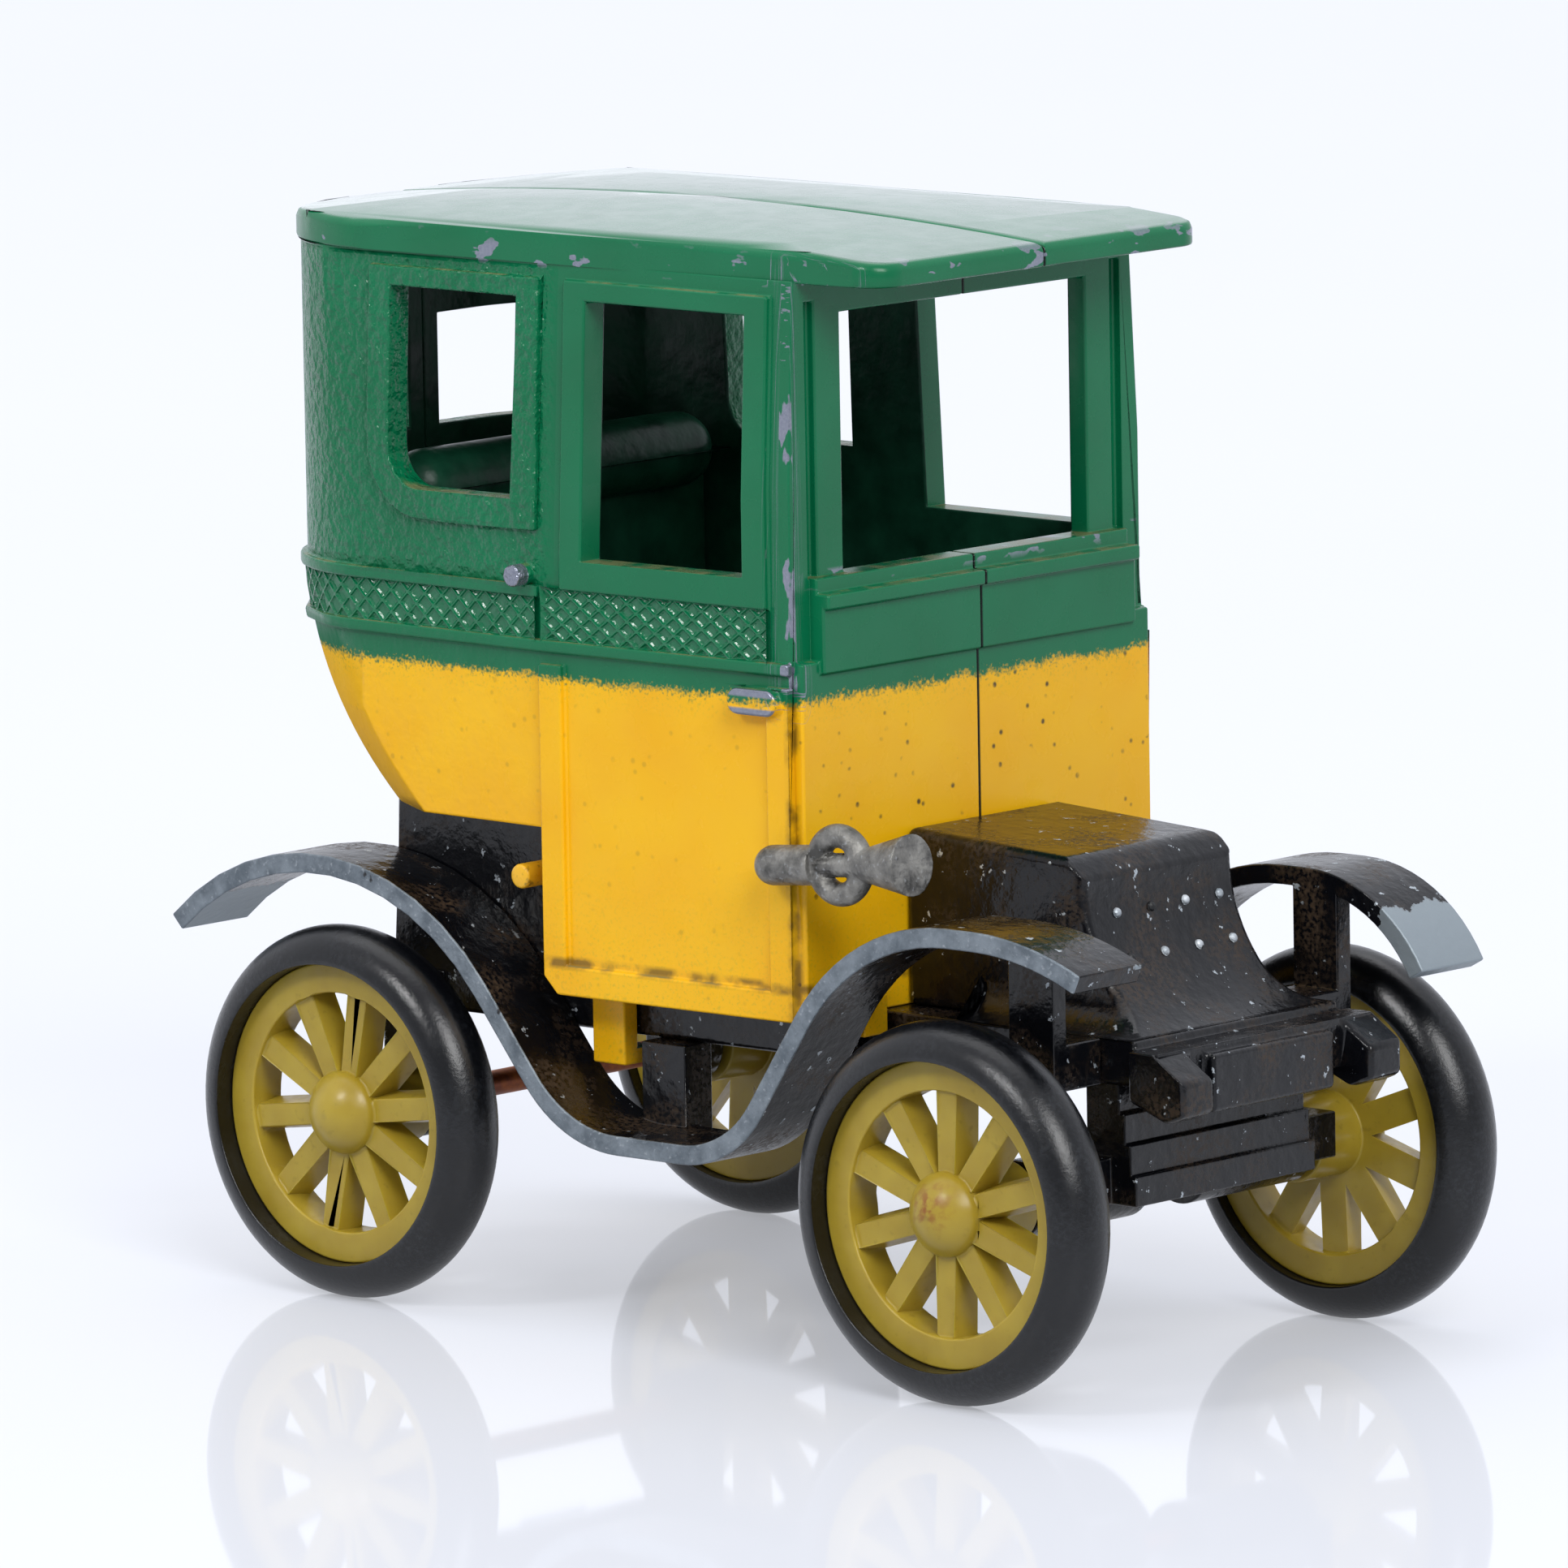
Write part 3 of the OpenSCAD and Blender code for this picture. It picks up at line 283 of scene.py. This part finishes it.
def makeBlackPaint(name, dustShare, tipRear, tipFront):
    material, tree, shader, place = startMaterial(name)
    axes = addNode(tree, "SeparateXYZ", {0: place}).node
    blots = noise(tree, place, 3.0, 3.0)
    grains = noise(tree, place, 0.25, 3.0)
    spots = noise(tree, place, 0.7, 5.0, 0.6)
    wear = noise(tree, place, 1.6, 4.0, 0.65)
    lie = ramp(tree, blots, 0.48, 0.68, 0.0, dustShare)
    ragged = ramp(tree, grains, 0.4, 0.62)
    dust = maths(tree, "MULTIPLY", lie, ragged)
    paint = blend(tree, dust, blackPaint["colour"], blackPaint["dust"])
    speck = ramp(tree, spots, 0.645, 0.66)
    patch = ramp(tree, wear, 0.48, 0.52)
    chips = maths(tree, "MULTIPLY", speck, patch)
    # paint rubbed off toward both tips; the bare zinc at the left guard's front tip is partly painted
    # sheen
    rearTip = ramp(tree, axes.outputs[0], tipRear, tipRear - 3.0)
    frontTip = ramp(tree, axes.outputs[0], tipFront, tipFront + 3.0)
    tips = maths(tree, "MAXIMUM", rearTip, frontTip)
    rubbed = maths(tree, "ADD", tips, wear)
    rubbed = ramp(tree, rubbed, 1.0, 1.04)
    bare = maths(tree, "MAXIMUM", chips, rubbed)
    zinc = blend(tree, rubbed, blackPaint["chip"], blackPaint["rubbed"])
    colour = blend(tree, bare, paint, zinc)
    tree.links.new(colour, shader.inputs["Base Color"])
    metal = maths(tree, "MULTIPLY", bare, 0.6)
    tree.links.new(metal, shader.inputs["Metallic"])
    dull = maths(tree, "MAXIMUM", dust, bare)
    polish = ramp(tree, dull, 0.0, 0.5, 0.2, 0.5)
    tree.links.new(polish, shader.inputs["Roughness"])
    shader.inputs["Specular IOR Level"].default_value = 0.38
    peel = noise(tree, place, 0.7, 3.0)
    bump = addNode(tree, "Bump", {"Height": peel, "Strength": 0.6, "Distance": 0.0001})
    tree.links.new(bump, shader.inputs["Normal"])
    return material


# bare cast zinc, dulled by air, with bright rubs and some black paint left
zincBright = "#d5dade"


def makeZinc(name, paintFrom, dark, light):
    material, tree, shader, place = startMaterial(name)
    blots = noise(tree, place, 1.2, 4.0, 0.6)
    grains = noise(tree, place, 0.25, 3.0)
    stain = noise(tree, place, 2.5, 4.0, 0.6)
    drift = ramp(tree, blots, 0.35, 0.65)
    metal = blend(tree, drift, dark, light)
    bright = ramp(tree, grains, 0.6, 0.75, 0.0, 0.3)
    metal = blend(tree, bright, metal, zincBright)
    left = ramp(tree, stain, paintFrom, paintFrom + 0.02)
    colour = blend(tree, left, metal, blackPaint["colour"])
    tree.links.new(colour, shader.inputs["Base Color"])
    shine = ramp(tree, left, 0, 1, 0.6, 0.0)
    tree.links.new(shine, shader.inputs["Metallic"])
    polish = ramp(tree, blots, 0.3, 0.7, 0.36, 0.55)
    tree.links.new(polish, shader.inputs["Roughness"])
    bump = addNode(tree, "Bump", {"Height": grains, "Strength": 0.6, "Distance": 0.0001})
    tree.links.new(bump, shader.inputs["Normal"])
    return material


# moulded translucent plastic: yellow gone a little green, glossy, lit from inside at thin edges
wheelPlastic = {"yellow": "#b19932", "yellowDeep": "#a38a28", "soil": "#7b6a22", "rust": "#8a4a1a",
                "rustX": 20.05, "rustZ": 9.5}


def makeWheelPlastic(name, rustAmount):
    material, tree, shader, place = startMaterial(name)
    axes = addNode(tree, "SeparateXYZ", {0: place}).node
    blots = noise(tree, place, 3.0, 3.0)
    grains = noise(tree, place, 0.5, 4.0)
    drift = ramp(tree, blots, 0.35, 0.65)
    colour = blend(tree, drift, wheelPlastic["yellow"], wheelPlastic["yellowDeep"])
    soil = ramp(tree, grains, 0.62, 0.75, 0.0, 0.35)
    colour = blend(tree, soil, colour, wheelPlastic["soil"])
    # rust that has crept out along the crack in one hub
    offX = maths(tree, "SUBTRACT", axes.outputs[0], wheelPlastic["rustX"])
    offZ = maths(tree, "SUBTRACT", axes.outputs[2], wheelPlastic["rustZ"])
    flat = addNode(tree, "CombineXYZ", {0: offX, 1: offZ})
    reach = addNode(tree, "VectorMath", {"operation": "LENGTH", 0: flat}, "Value")
    near = ramp(tree, reach, 1.6, 0.2, 0.0, rustAmount)
    crept = ramp(tree, grains, 0.45, 0.6)
    rust = maths(tree, "MULTIPLY", near, crept)
    colour = blend(tree, rust, colour, wheelPlastic["rust"])
    tree.links.new(colour, shader.inputs["Base Color"])
    polish = ramp(tree, grains, 0.3, 0.7, 0.28, 0.42)
    tree.links.new(polish, shader.inputs["Roughness"])
    shader.inputs["Subsurface Weight"].default_value = 0.3
    shader.inputs["Subsurface Radius"].default_value = (1.0, 0.8, 0.15)
    shader.inputs["Subsurface Scale"].default_value = 0.001
    bump = addNode(tree, "Bump", {"Height": blots, "Strength": 0.4, "Distance": 0.0001})
    tree.links.new(bump, shader.inputs["Normal"])
    return material


# moulded rubber with a bloom of grey dust
rubberTint = {"black": "#06070a", "dust": "#44484e"}


def makeRubber():
    material, tree, shader, place = startMaterial("tyreRubber")
    blots = noise(tree, place, 4.0, 4.0)
    grains = noise(tree, place, 0.25, 4.0, 0.7)
    lie = ramp(tree, blots, 0.4, 0.7, 0.02, 0.3)
    ragged = ramp(tree, grains, 0.45, 0.7)
    dust = maths(tree, "MULTIPLY", lie, ragged)
    colour = blend(tree, dust, rubberTint["black"], rubberTint["dust"])
    tree.links.new(colour, shader.inputs["Base Color"])
    polish = ramp(tree, blots, 0.3, 0.7, 0.2, 0.32)
    tree.links.new(polish, shader.inputs["Roughness"])
    bump = addNode(tree, "Bump", {"Height": grains, "Strength": 0.2, "Distance": 0.0001})
    tree.links.new(bump, shader.inputs["Normal"])
    return material


# drawn steel wire with a copper wash, browned by rust
wireTint = {"rust": "#7a3a1c", "copper": "#b9672f"}


def makeAxleWire():
    material, tree, shader, place = startMaterial("rustedWire")
    blots = noise(tree, place, 0.8, 4.0)
    drift = ramp(tree, blots, 0.35, 0.65)
    colour = blend(tree, drift, wireTint["rust"], wireTint["copper"])
    tree.links.new(colour, shader.inputs["Base Color"])
    shader.inputs["Metallic"].default_value = 0.5
    polish = ramp(tree, blots, 0.3, 0.7, 0.35, 0.6)
    tree.links.new(polish, shader.inputs["Roughness"])
    return material


# yellow gloss enamel on the pin, with grime in its corners
pinTint = {"yellow": "#f4ba24", "grime": "#5a4a18"}


def makePinPaint():
    material, tree, shader, place = startMaterial("yellowEnamelPin")
    grains = noise(tree, place, 0.35, 3.0)
    soil = ramp(tree, grains, 0.58, 0.72, 0.0, 0.7)
    colour = blend(tree, soil, pinTint["yellow"], pinTint["grime"])
    tree.links.new(colour, shader.inputs["Base Color"])
    polish = ramp(tree, grains, 0.3, 0.7, 0.25, 0.4)
    tree.links.new(polish, shader.inputs["Roughness"])
    return material


def activate(piece):
    if bpy.context.mode != "OBJECT":
        bpy.ops.object.mode_set(mode="OBJECT")
    bpy.ops.object.select_all(action="DESELECT")
    piece.select_set(True)
    bpy.context.view_layer.objects.active = piece


# weld in mm and angles in degrees; room is the share of a neighbouring edge that a rounding may take
# up, and straight the cosine past which two edges count as one line
castEdges = {"weld": 0.002, "flat": 0.3, "knife": 120, "sharp": 30, "room": 0.4, "straight": 0.8}


def softCast(node, name, edge, segments=2, smooth=38, rim=None):
    # a copy of the casting, with its edges rounded as paint and handling leave them
    piece = bpy.data.objects.new(name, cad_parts[node].data.copy())
    bpy.context.scene.collection.objects.link(piece)
    piece.data.materials.clear()
    activate(piece)
    bpy.ops.object.mode_set(mode="EDIT")
    bpy.ops.mesh.select_all(action="SELECT")
    bpy.ops.mesh.remove_doubles(threshold=castEdges["weld"] * mm)
    bpy.ops.mesh.dissolve_limited(angle_limit=math.radians(castEdges["flat"]))
    bpy.ops.object.mode_set(mode="OBJECT")
    # each sharp edge gets the width that its neighbours leave room for
    widest = max(edge, rim[1] if rim else 0)
    shape = bmesh.new()
    shape.from_mesh(piece.data)
    weights = shape.edges.layers.float.new("bevel_weight_edge")
    # a knife edge, where a hollow runs out, can't be rounded
    knifeAngle = math.radians(castEdges["knife"])
    sharpAngle = math.radians(castEdges["sharp"])
    knives = set()
    for line in shape.edges:
        if len(line.link_faces) != 2 or line.calc_face_angle() > knifeAngle:
            knives.update(line.verts)
    for line in shape.edges:
        if not knives.isdisjoint(line.verts) or line.calc_face_angle() < sharpAngle:
            continue
        room = edge
        if rim and min(sceneToBody(v.co)[2] for v in line.verts) > rim[0]:
            room = rim[1]
        for end in line.verts:
            along = (line.other_vert(end).co - end.co).normalized()
            for other in end.link_edges:
                way = other.other_vert(end).co - end.co
                turn = way.normalized().dot(along)
                if other is line or turn <= -castEdges["straight"]:
                    continue
                spare = castEdges["room"] * way.length / mm
                room = min(room, spare if turn < castEdges["straight"] else 0)
        line[weights] = room / widest
    shape.to_mesh(piece.data)
    shape.free()
    bevel = piece.modifiers.new("edges", "BEVEL")
    bevel.width = widest * mm
    bevel.segments = segments
    bevel.limit_method = "WEIGHT"
    bevel.use_clamp_overlap = False
    bpy.ops.object.modifier_apply(modifier="edges")
    # nothing that the rounding moves may stand outside the casting
    for axis in range(3):
        reach = [v.co[axis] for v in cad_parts[node].data.vertices]
        low = min(reach)
        high = max(reach)
        for vertex in piece.data.vertices:
            vertex.co[axis] = min(max(vertex.co[axis], low), high)
    bpy.ops.object.shade_smooth_by_angle(angle=math.radians(smooth))
    piece.modifiers.new("flats", "WEIGHTED_NORMAL").keep_sharp = True
    bpy.ops.object.modifier_apply(modifier="flats")
    return piece


def dress(piece, material, body, node=None):
    piece.data.materials.append(material)
    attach(piece, body)
    if node:
        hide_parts(node)


greenYellow = makeCabPaint()
greenCane = makeCanePaint()
greenInsideShaded = makeShadedInsidePaint()
black = makeBlackPaint("blackEnamel", 0.5, -60, 60)
# the left guard is bared from further back at its front tip than the right: wear, and painted sheen of the
# glossy black
blackWornAndSheen = {"right": makeBlackPaint("blackEnamelRubbedRight", 0.7, -27.0, 27.4),
             "left": makeBlackPaint("blackEnamelRubbedLeftAndSheen", 0.7, -27.0, 25.0)}
zincEdge = makeZinc("bareZincEdge", 0.66, "#5f686f", "#868f96")
zincHorn = makeZinc("bareZincHorn", 0.7, "#4b4a47", "#96948e")
# the rivet heads' zinc is far lighter than the other bare zinc: worn metal with a painted highlight
zincRivetGlint = makeZinc("bareZincRivetPaintedGlint", 0.56, "#8d979e", zincBright)
plastic = makeWheelPlastic("yellowPlastic", 0.0)
plasticRusty = makeWheelPlastic("yellowPlasticRusty", 0.9)
rubber = makeRubber()
wire = makeAxleWire()
pinPaint = makePinPaint()
print("materials made")

# cab halves; coreX and coreZ bound the hollow's middle, which every inner face looks toward
cabShell = {"front": 8.6, "side": 13.2, "lean": 0.05, "leanFrom": 38, "cornerX": -20.5, "cornerY": 4.0,
            "cornerR": 9.0, "bellyDrop": 12.7, "bellyIn": 6.3, "skin": 0.75, "ceiling": 53.45,
            "edge": 0.13, "rim": (54.2, 0.4), "coreX": (-20, 4), "coreZ": (31, 49), "facesIn": 0.25}
for side in ("right", "left"):
    cab = softCast("cab_" + side, "cabHalf_" + side, cabShell["edge"], rim=cabShell["rim"])
    dress(cab, greenYellow, "body", "cab_" + side)
    cab.data.materials.append(greenInsideShaded)
    for face in cab.data.polygons:
        fx, fy, fz = sceneToBody(face.center)
        # how far this face lies outside the cab's outer surface, in mm; inside it is below zero
        depth = abs(fy) - cabShell["side"] + cabShell["lean"] * max(0, fz - cabShell["leanFrom"])
        if fx < cabShell["cornerX"]:
            around = math.hypot(cabShell["cornerX"] - fx, max(0, abs(fy) - cabShell["cornerY"]))
            depth = around - cabShell["cornerR"]
        depth = max(depth, fx - cabShell["front"])
        coreX = min(max(fx, cabShell["coreX"][0]), cabShell["coreX"][1])
        coreZ = min(max(fz, cabShell["coreZ"][0]), cabShell["coreZ"][1])
        toMiddle = bodyToScene(coreX, 0, coreZ) - face.center
        # faces inside the hollow that look inward get the darker green: painted shade
        inside = depth < -cabShell["skin"] and fz < cabShell["ceiling"]
        if inside and face.normal.dot(toMiddle.normalized()) > cabShell["facesIn"]:
            face.material_index = 1
print("cab made")

# cane-work belt: a diagonal lattice cast into each side, round the rear corner to the middle of the back;
# door and rear give each strip's run back from the front edge, and its heights
cane = {"pitch": 1.2, "row": 0.95, "ridge": 0.11, "low": 0.03, "depth": 0.2, "chamfer": 0.062, "sharp": 25,
        "door": (1.4, 16.2, 34.75, 37.45), "rear": (16.7, 46.9, 34.75, 37.0)}
sidePath = [(8.6, -13.1), (-7.9, -13.4), (-20.5, -13.0)]


def sidePlace(run, rise):
    # run is the distance back along the side from the cab's front edge, in mm, and rise the height
    x0, y0 = sidePath[0]
    for x1, y1 in sidePath[1:]:
        length = math.hypot(x1 - x0, y1 - y0)
        if run <= length:
            share = run / length
            return x0 + (x1 - x0) * share, y0 + (y1 - y0) * share, rise, 0.0, -1.0
        run -= length
        x0, y0 = x1, y1
    bend = min(run / cabShell["cornerR"], math.pi / 2)
    past = run - bend * cabShell["cornerR"]
    outX = -math.sin(bend)
    outY = -math.cos(bend)
    # the rear wall curves in below the belt
    comeIn = max(cabShell["bellyIn"] * math.sin(bend), 0.0001)
    curve = (cabShell["bellyDrop"] ** 2 + comeIn * comeIn) / (2 * comeIn)
    inset = curve - math.sqrt(curve * curve - max(0, cabShell["leanFrom"] - rise) ** 2)
    reach = cabShell["cornerR"] - inset
    y = -cabShell["cornerY"] + outY * reach + past
    return cabShell["cornerX"] + outX * reach, y, rise, outX, outY


def caneStrip(name, runFrom, runTo, low, high):
    bpy.ops.object.select_all(action="DESELECT")
    cols = round((runTo - runFrom) / cane["pitch"])
    rows = round((high - low) / cane["row"])
    bpy.ops.mesh.primitive_grid_add(x_subdivisions=cols, y_subdivisions=rows, size=1.0)
    strip = bpy.context.active_object
    strip.name = name
    bpy.ops.object.mode_set(mode="EDIT")
    bpy.ops.mesh.select_all(action="SELECT")
    bpy.ops.transform.resize(value=((runTo - runFrom) * mm, (high - low) * mm, 1))
    bpy.ops.mesh.poke()
    bpy.ops.mesh.select_all(action="DESELECT")
    bpy.ops.object.mode_set(mode="OBJECT")
    halfHeight = (high - low) * mm / 2
    halfRun = (runTo - runFrom) * mm / 2
    for line in strip.data.edges:
        a, b = (strip.data.vertices[i].co for i in line.vertices)
        straight = abs(a.x - b.x) < 1e-6 or abs(a.y - b.y) < 1e-6
        onRim = abs(a.y + b.y) > 2 * halfHeight - 2e-6 or abs(a.x + b.x) > 2 * halfRun - 2e-6
        line.select = straight and not onRim
    bpy.ops.object.mode_set(mode="EDIT")
    bpy.ops.mesh.select_mode(type="EDGE")
    bpy.ops.mesh.dissolve_edges(use_verts=False)
    bpy.ops.mesh.select_mode(type="FACE")
    bpy.ops.mesh.select_all(action="SELECT")
    bpy.ops.mesh.inset(use_individual=True, thickness=cane["ridge"] * mm, depth=-cane["depth"] * mm)
    bpy.ops.object.mode_set(mode="OBJECT")
    for vertex in strip.data.vertices:
        run = (vertex.co.x + halfRun) / mm + runFrom
        rise = (vertex.co.y + halfHeight) / mm + low
        x, y, z, outX, outY = sidePlace(run, rise)
        out = cane["low"] + cane["depth"] + vertex.co.z / mm
        vertex.co = bodyToScene(x + outX * out, y + outY * out, z)
    activate(strip)
    bpy.ops.object.mode_set(mode="EDIT")
    bpy.ops.mesh.select_all(action="SELECT")
    bpy.ops.mesh.normals_make_consistent(inside=False)
    bpy.ops.object.mode_set(mode="OBJECT")
    bevel = strip.modifiers.new("ridges", "BEVEL")
    bevel.width = cane["chamfer"] * mm
    bevel.segments = 1
    bevel.angle_limit = math.radians(cane["sharp"])
    bpy.ops.object.modifier_apply(modifier="ridges")
    bpy.ops.object.shade_flat()  # flat chamfers catch the light all along a ridge
    return strip


for part in ("door", "rear"):
    right = caneStrip("caneWork_" + part + "_right", *cane[part])
    left = bpy.data.objects.new("caneWork_" + part + "_left", right.data.copy())
    bpy.context.scene.collection.objects.link(left)
    for vertex in left.data.vertices:
        vertex.co.y = -vertex.co.y
    left.data.flip_normals()
    for strip in (right, left):
        dress(strip, greenCane, "body")
print("cane-work made")

# black castings, with the rounding of each one's edges
castings = {"chassis_frame": 0.3, "bonnet": 0.5, "front_spring": 0.12}
rivets = {"noseX": 28.8, "noseZ": 24.3, "noseR": 8.0, "heights": (22.4, 20.25), "first": -3.4,
          "pitch": 2.57, "count": 4, "r": 0.26, "sunk": 0.08, "flat": 0.85, "segments": 16, "rings": 10,
          "smooth": 50}
for node, edge in castings.items():
    casting = softCast(node, node + "_cast", edge, 3)
    dress(casting, black, "body", node)
    if node == "bonnet":
        # two rows of rivet heads across the hollow of the nose, rubbed bare, their zinc lightened almost
        # to white as a painted highlight
        bpy.ops.object.select_all(action="DESELECT")
        bpy.ops.mesh.primitive_uv_sphere_add(segments=rivets["segments"], ring_count=rivets["rings"],
                                             radius=rivets["r"] * mm)
        head = bpy.context.active_object
        bpy.ops.object.mode_set(mode="EDIT")
        bpy.ops.mesh.select_all(action="SELECT")
        foot = (0, 0, -rivets["sunk"] * mm)
        bpy.ops.mesh.bisect(plane_co=foot, plane_no=(0, 0, 1), use_fill=True, clear_inner=True)
        bpy.ops.mesh.select_all(action="SELECT")
        bpy.ops.transform.resize(value=(1, 1, rivets["flat"]))
        bpy.ops.object.mode_set(mode="OBJECT")
        bpy.ops.object.shade_smooth_by_angle(angle=math.radians(rivets["smooth"]))
        head.data.materials.append(zincRivetGlint)
        heads = []
        for height in rivets["heights"]:
            drop = rivets["noseZ"] - height
            depth = math.sqrt(rivets["noseR"] ** 2 - drop ** 2)
            stand = Vector((depth, 0, drop)).to_track_quat("Z", "Y").to_matrix().to_4x4()
            for count in range(rivets["count"]):
                across = rivets["first"] + count * rivets["pitch"]
                spot = bodyToScene(rivets["noseX"] - depth, across, height)
                heads.append(bpy.data.objects.new("rivetHead", head.data.copy()))
                heads[-1].data.transform(Matrix.Translation(spot) @ stand)
                bpy.context.scene.collection.objects.link(heads[-1])
        bpy.data.objects.remove(head)
        activate(casting)
        for head in heads:
            head.select_set(True)
        bpy.ops.object.join()

guards = {"edge": 0.1, "outerFace": 14.88}
for side in ("right", "left"):
    guard = softCast("mudguard_" + side, "mudguardStrip_" + side, guards["edge"])
    dress(guard, blackWornAndSheen[side], "body", "mudguard_" + side)
    guard.data.materials.append(zincEdge)
    for face in guard.data.polygons:
        if abs(face.center.y) / mm > guards["outerFace"]:
            face.material_index = 1
print("chassis made")

smallEdges = {"seat": 0.4, "pin": 0.15, "axle": 0.1, "wheel": 0.12, "tyre": 0.15}
# the bench seat gets the darker inside green too: painted shade
seat = softCast("bench_seat", "benchSeat", smallEdges["seat"], 3)
dress(seat, greenInsideShaded, "body", "bench_seat")
pin = softCast("cross_pin", "crossPin", smallEdges["pin"])
dress(pin, pinPaint, "body", "cross_pin")
# the horn is small and lumpy, so its joints are melted together as in one casting
hornMelt = {"edge": 0.02, "grain": 0.08, "rounds": 4}
horn = softCast("bulb_horn", "bulbHorn", hornMelt["edge"])
activate(horn)
horn.data.remesh_voxel_size = hornMelt["grain"] * mm
bpy.ops.object.voxel_remesh()
melt = horn.modifiers.new("melt", "SMOOTH")
melt.iterations = hornMelt["rounds"]
bpy.ops.object.modifier_apply(modifier="melt")
bpy.ops.object.shade_smooth()
dress(horn, zincHorn, "body", "bulb_horn")

for end in ("front", "rear"):
    axle = softCast(end + "_axle", end + "AxleWire", smallEdges["axle"])
    dress(axle, wire, end + "_wheelset", end + "_axle")
    for side in ("right", "left"):
        corner = end + "_" + side
        wheel = softCast("wheel_" + corner, "spokedWheel_" + corner, smallEdges["wheel"])
        finish = plasticRusty if corner == "front_right" else plastic
        dress(wheel, finish, end + "_wheelset", "wheel_" + corner)
        tyre = softCast("tyre_" + corner, "tyreRing_" + corner, smallEdges["tyre"])
        dress(tyre, rubber, end + "_wheelset", "tyre_" + corner)
print("wheels made")

# white gloss board under the toy, lifted to the photo's white for the camera and for reflections only
boardLook = {"size": 8.0, "tint": "#adb0b7", "tintLight": "#b1b3b9", "gloss": 0.04, "ior": 1.15,
             "white": "#f4f6fc", "lift": 0.36}
bpy.ops.object.select_all(action="DESELECT")
bpy.ops.mesh.primitive_plane_add(size=boardLook["size"], location=(0, 0, 0))
floor = bpy.context.active_object
floor.name = "tableTop"
board, boardTree, boardShader, boardPlace = startMaterial("whiteGlossBoard")
boardHaze = noise(boardTree, boardPlace, 60, 2.0)
boardTint = blend(boardTree, boardHaze, boardLook["tint"], boardLook["tintLight"])
boardTree.links.new(boardTint, boardShader.inputs["Base Color"])
boardShader.inputs["Roughness"].default_value = boardLook["gloss"]
boardShader.inputs["IOR"].default_value = boardLook["ior"]
boardShader.inputs["Emission Color"].default_value = hexColour(boardLook["white"])
rays = addNode(boardTree, "LightPath", {}, "Is Camera Ray").node.outputs
seen = maths(boardTree, "MAXIMUM", rays["Is Camera Ray"], rays["Is Glossy Ray"])
seen = maths(boardTree, "MAXIMUM", seen, rays["Is Transmission Ray"])
glow = maths(boardTree, "MULTIPLY", seen, boardLook["lift"])
boardTree.links.new(glow, boardShader.inputs["Emission Strength"])
floor.data.materials.append(board)

# soft studio light: a white sweep behind, a dimmer room in front, large boxes above and in front,
# and a smaller one at the right side that makes the cane-work glint
roomLight = {"behind": "#f3f6ff", "inFront": "#a8abb2", "toFront": (0.66, -0.73, 0.15), "strength": 0.97}
world = bpy.data.worlds.new("whiteRoom")
bpy.context.scene.world = world
world.use_nodes = True
room = world.node_tree
way = addNode(room, "TexCoord", {}, "Generated")
turned = addNode(room, "VectorMath", {"operation": "DOT_PRODUCT", 0: way,
                                      1: roomLight["toFront"]}, "Value")
dim = ramp(room, turned, -0.1, 0.75)
roomColour = blend(room, dim, roomLight["behind"], roomLight["inFront"])
room.links.new(roomColour, room.nodes["Background"].inputs["Color"])
room.nodes["Background"].inputs["Strength"].default_value = roomLight["strength"]
# each lamp's place, what it is aimed at, its width and its power
lamps = {"top": ((-0.15, 0.05, 0.75), (0, 0, 0.02), 0.7, 1.6),
         "front": ((0.75, -0.42, 0.66), (0, 0, 0.03), 0.5, 6.6),
         "side": ((-0.09, -0.82, 0.62), (0, 0, 0.036), 0.2, 2.9)}
for name, (where, aim, size, power) in lamps.items():
    light = bpy.data.lights.new(name + "Box", "AREA")
    light.size = size
    light.energy = power
    lamp = bpy.data.objects.new(name + "Box", light)
    lamp.location = where
    lamp.rotation_euler = (Vector(aim) - Vector(where)).to_track_quat("-Z", "Y").to_euler()
    bpy.context.scene.collection.objects.link(lamp)

# camera at the photograph's place, worked out from the four tyres
view = {"azimuth": 42.08, "elevation": 9.37, "roll": 0.13, "distance": 0.7511, "lens": 343.0,
        "aim": (-2.785, 0, 26.12)}
azimuth = math.radians(view["azimuth"])
elevation = math.radians(view["elevation"])
roll = math.radians(view["roll"])
level = math.cos(elevation)
back = Vector((math.sin(azimuth) * level, -math.cos(azimuth) * level, math.sin(elevation)))
across = Vector((math.cos(azimuth), math.sin(azimuth), 0))
upward = back.cross(across)
photoLens = bpy.data.cameras.new("photoCamera")
photoLens.lens = view["lens"]
photoLens.sensor_width = 36
photoLens.clip_start = 0.05
camera = bpy.data.objects.new("photoCamera", photoLens)
rolledAcross = across * math.cos(roll) + upward * math.sin(roll)
rolledUp = upward * math.cos(roll) - across * math.sin(roll)
spin = Matrix((rolledAcross, rolledUp, back)).transposed()
stand = Vector(view["aim"]) * mm + back * view["distance"]
camera.matrix_world = Matrix.Translation(stand) @ spin.to_4x4()
bpy.context.scene.collection.objects.link(camera)
bpy.context.scene.camera = camera
bpy.context.scene.view_settings.view_transform = "Standard"
print("stage, light and camera set")
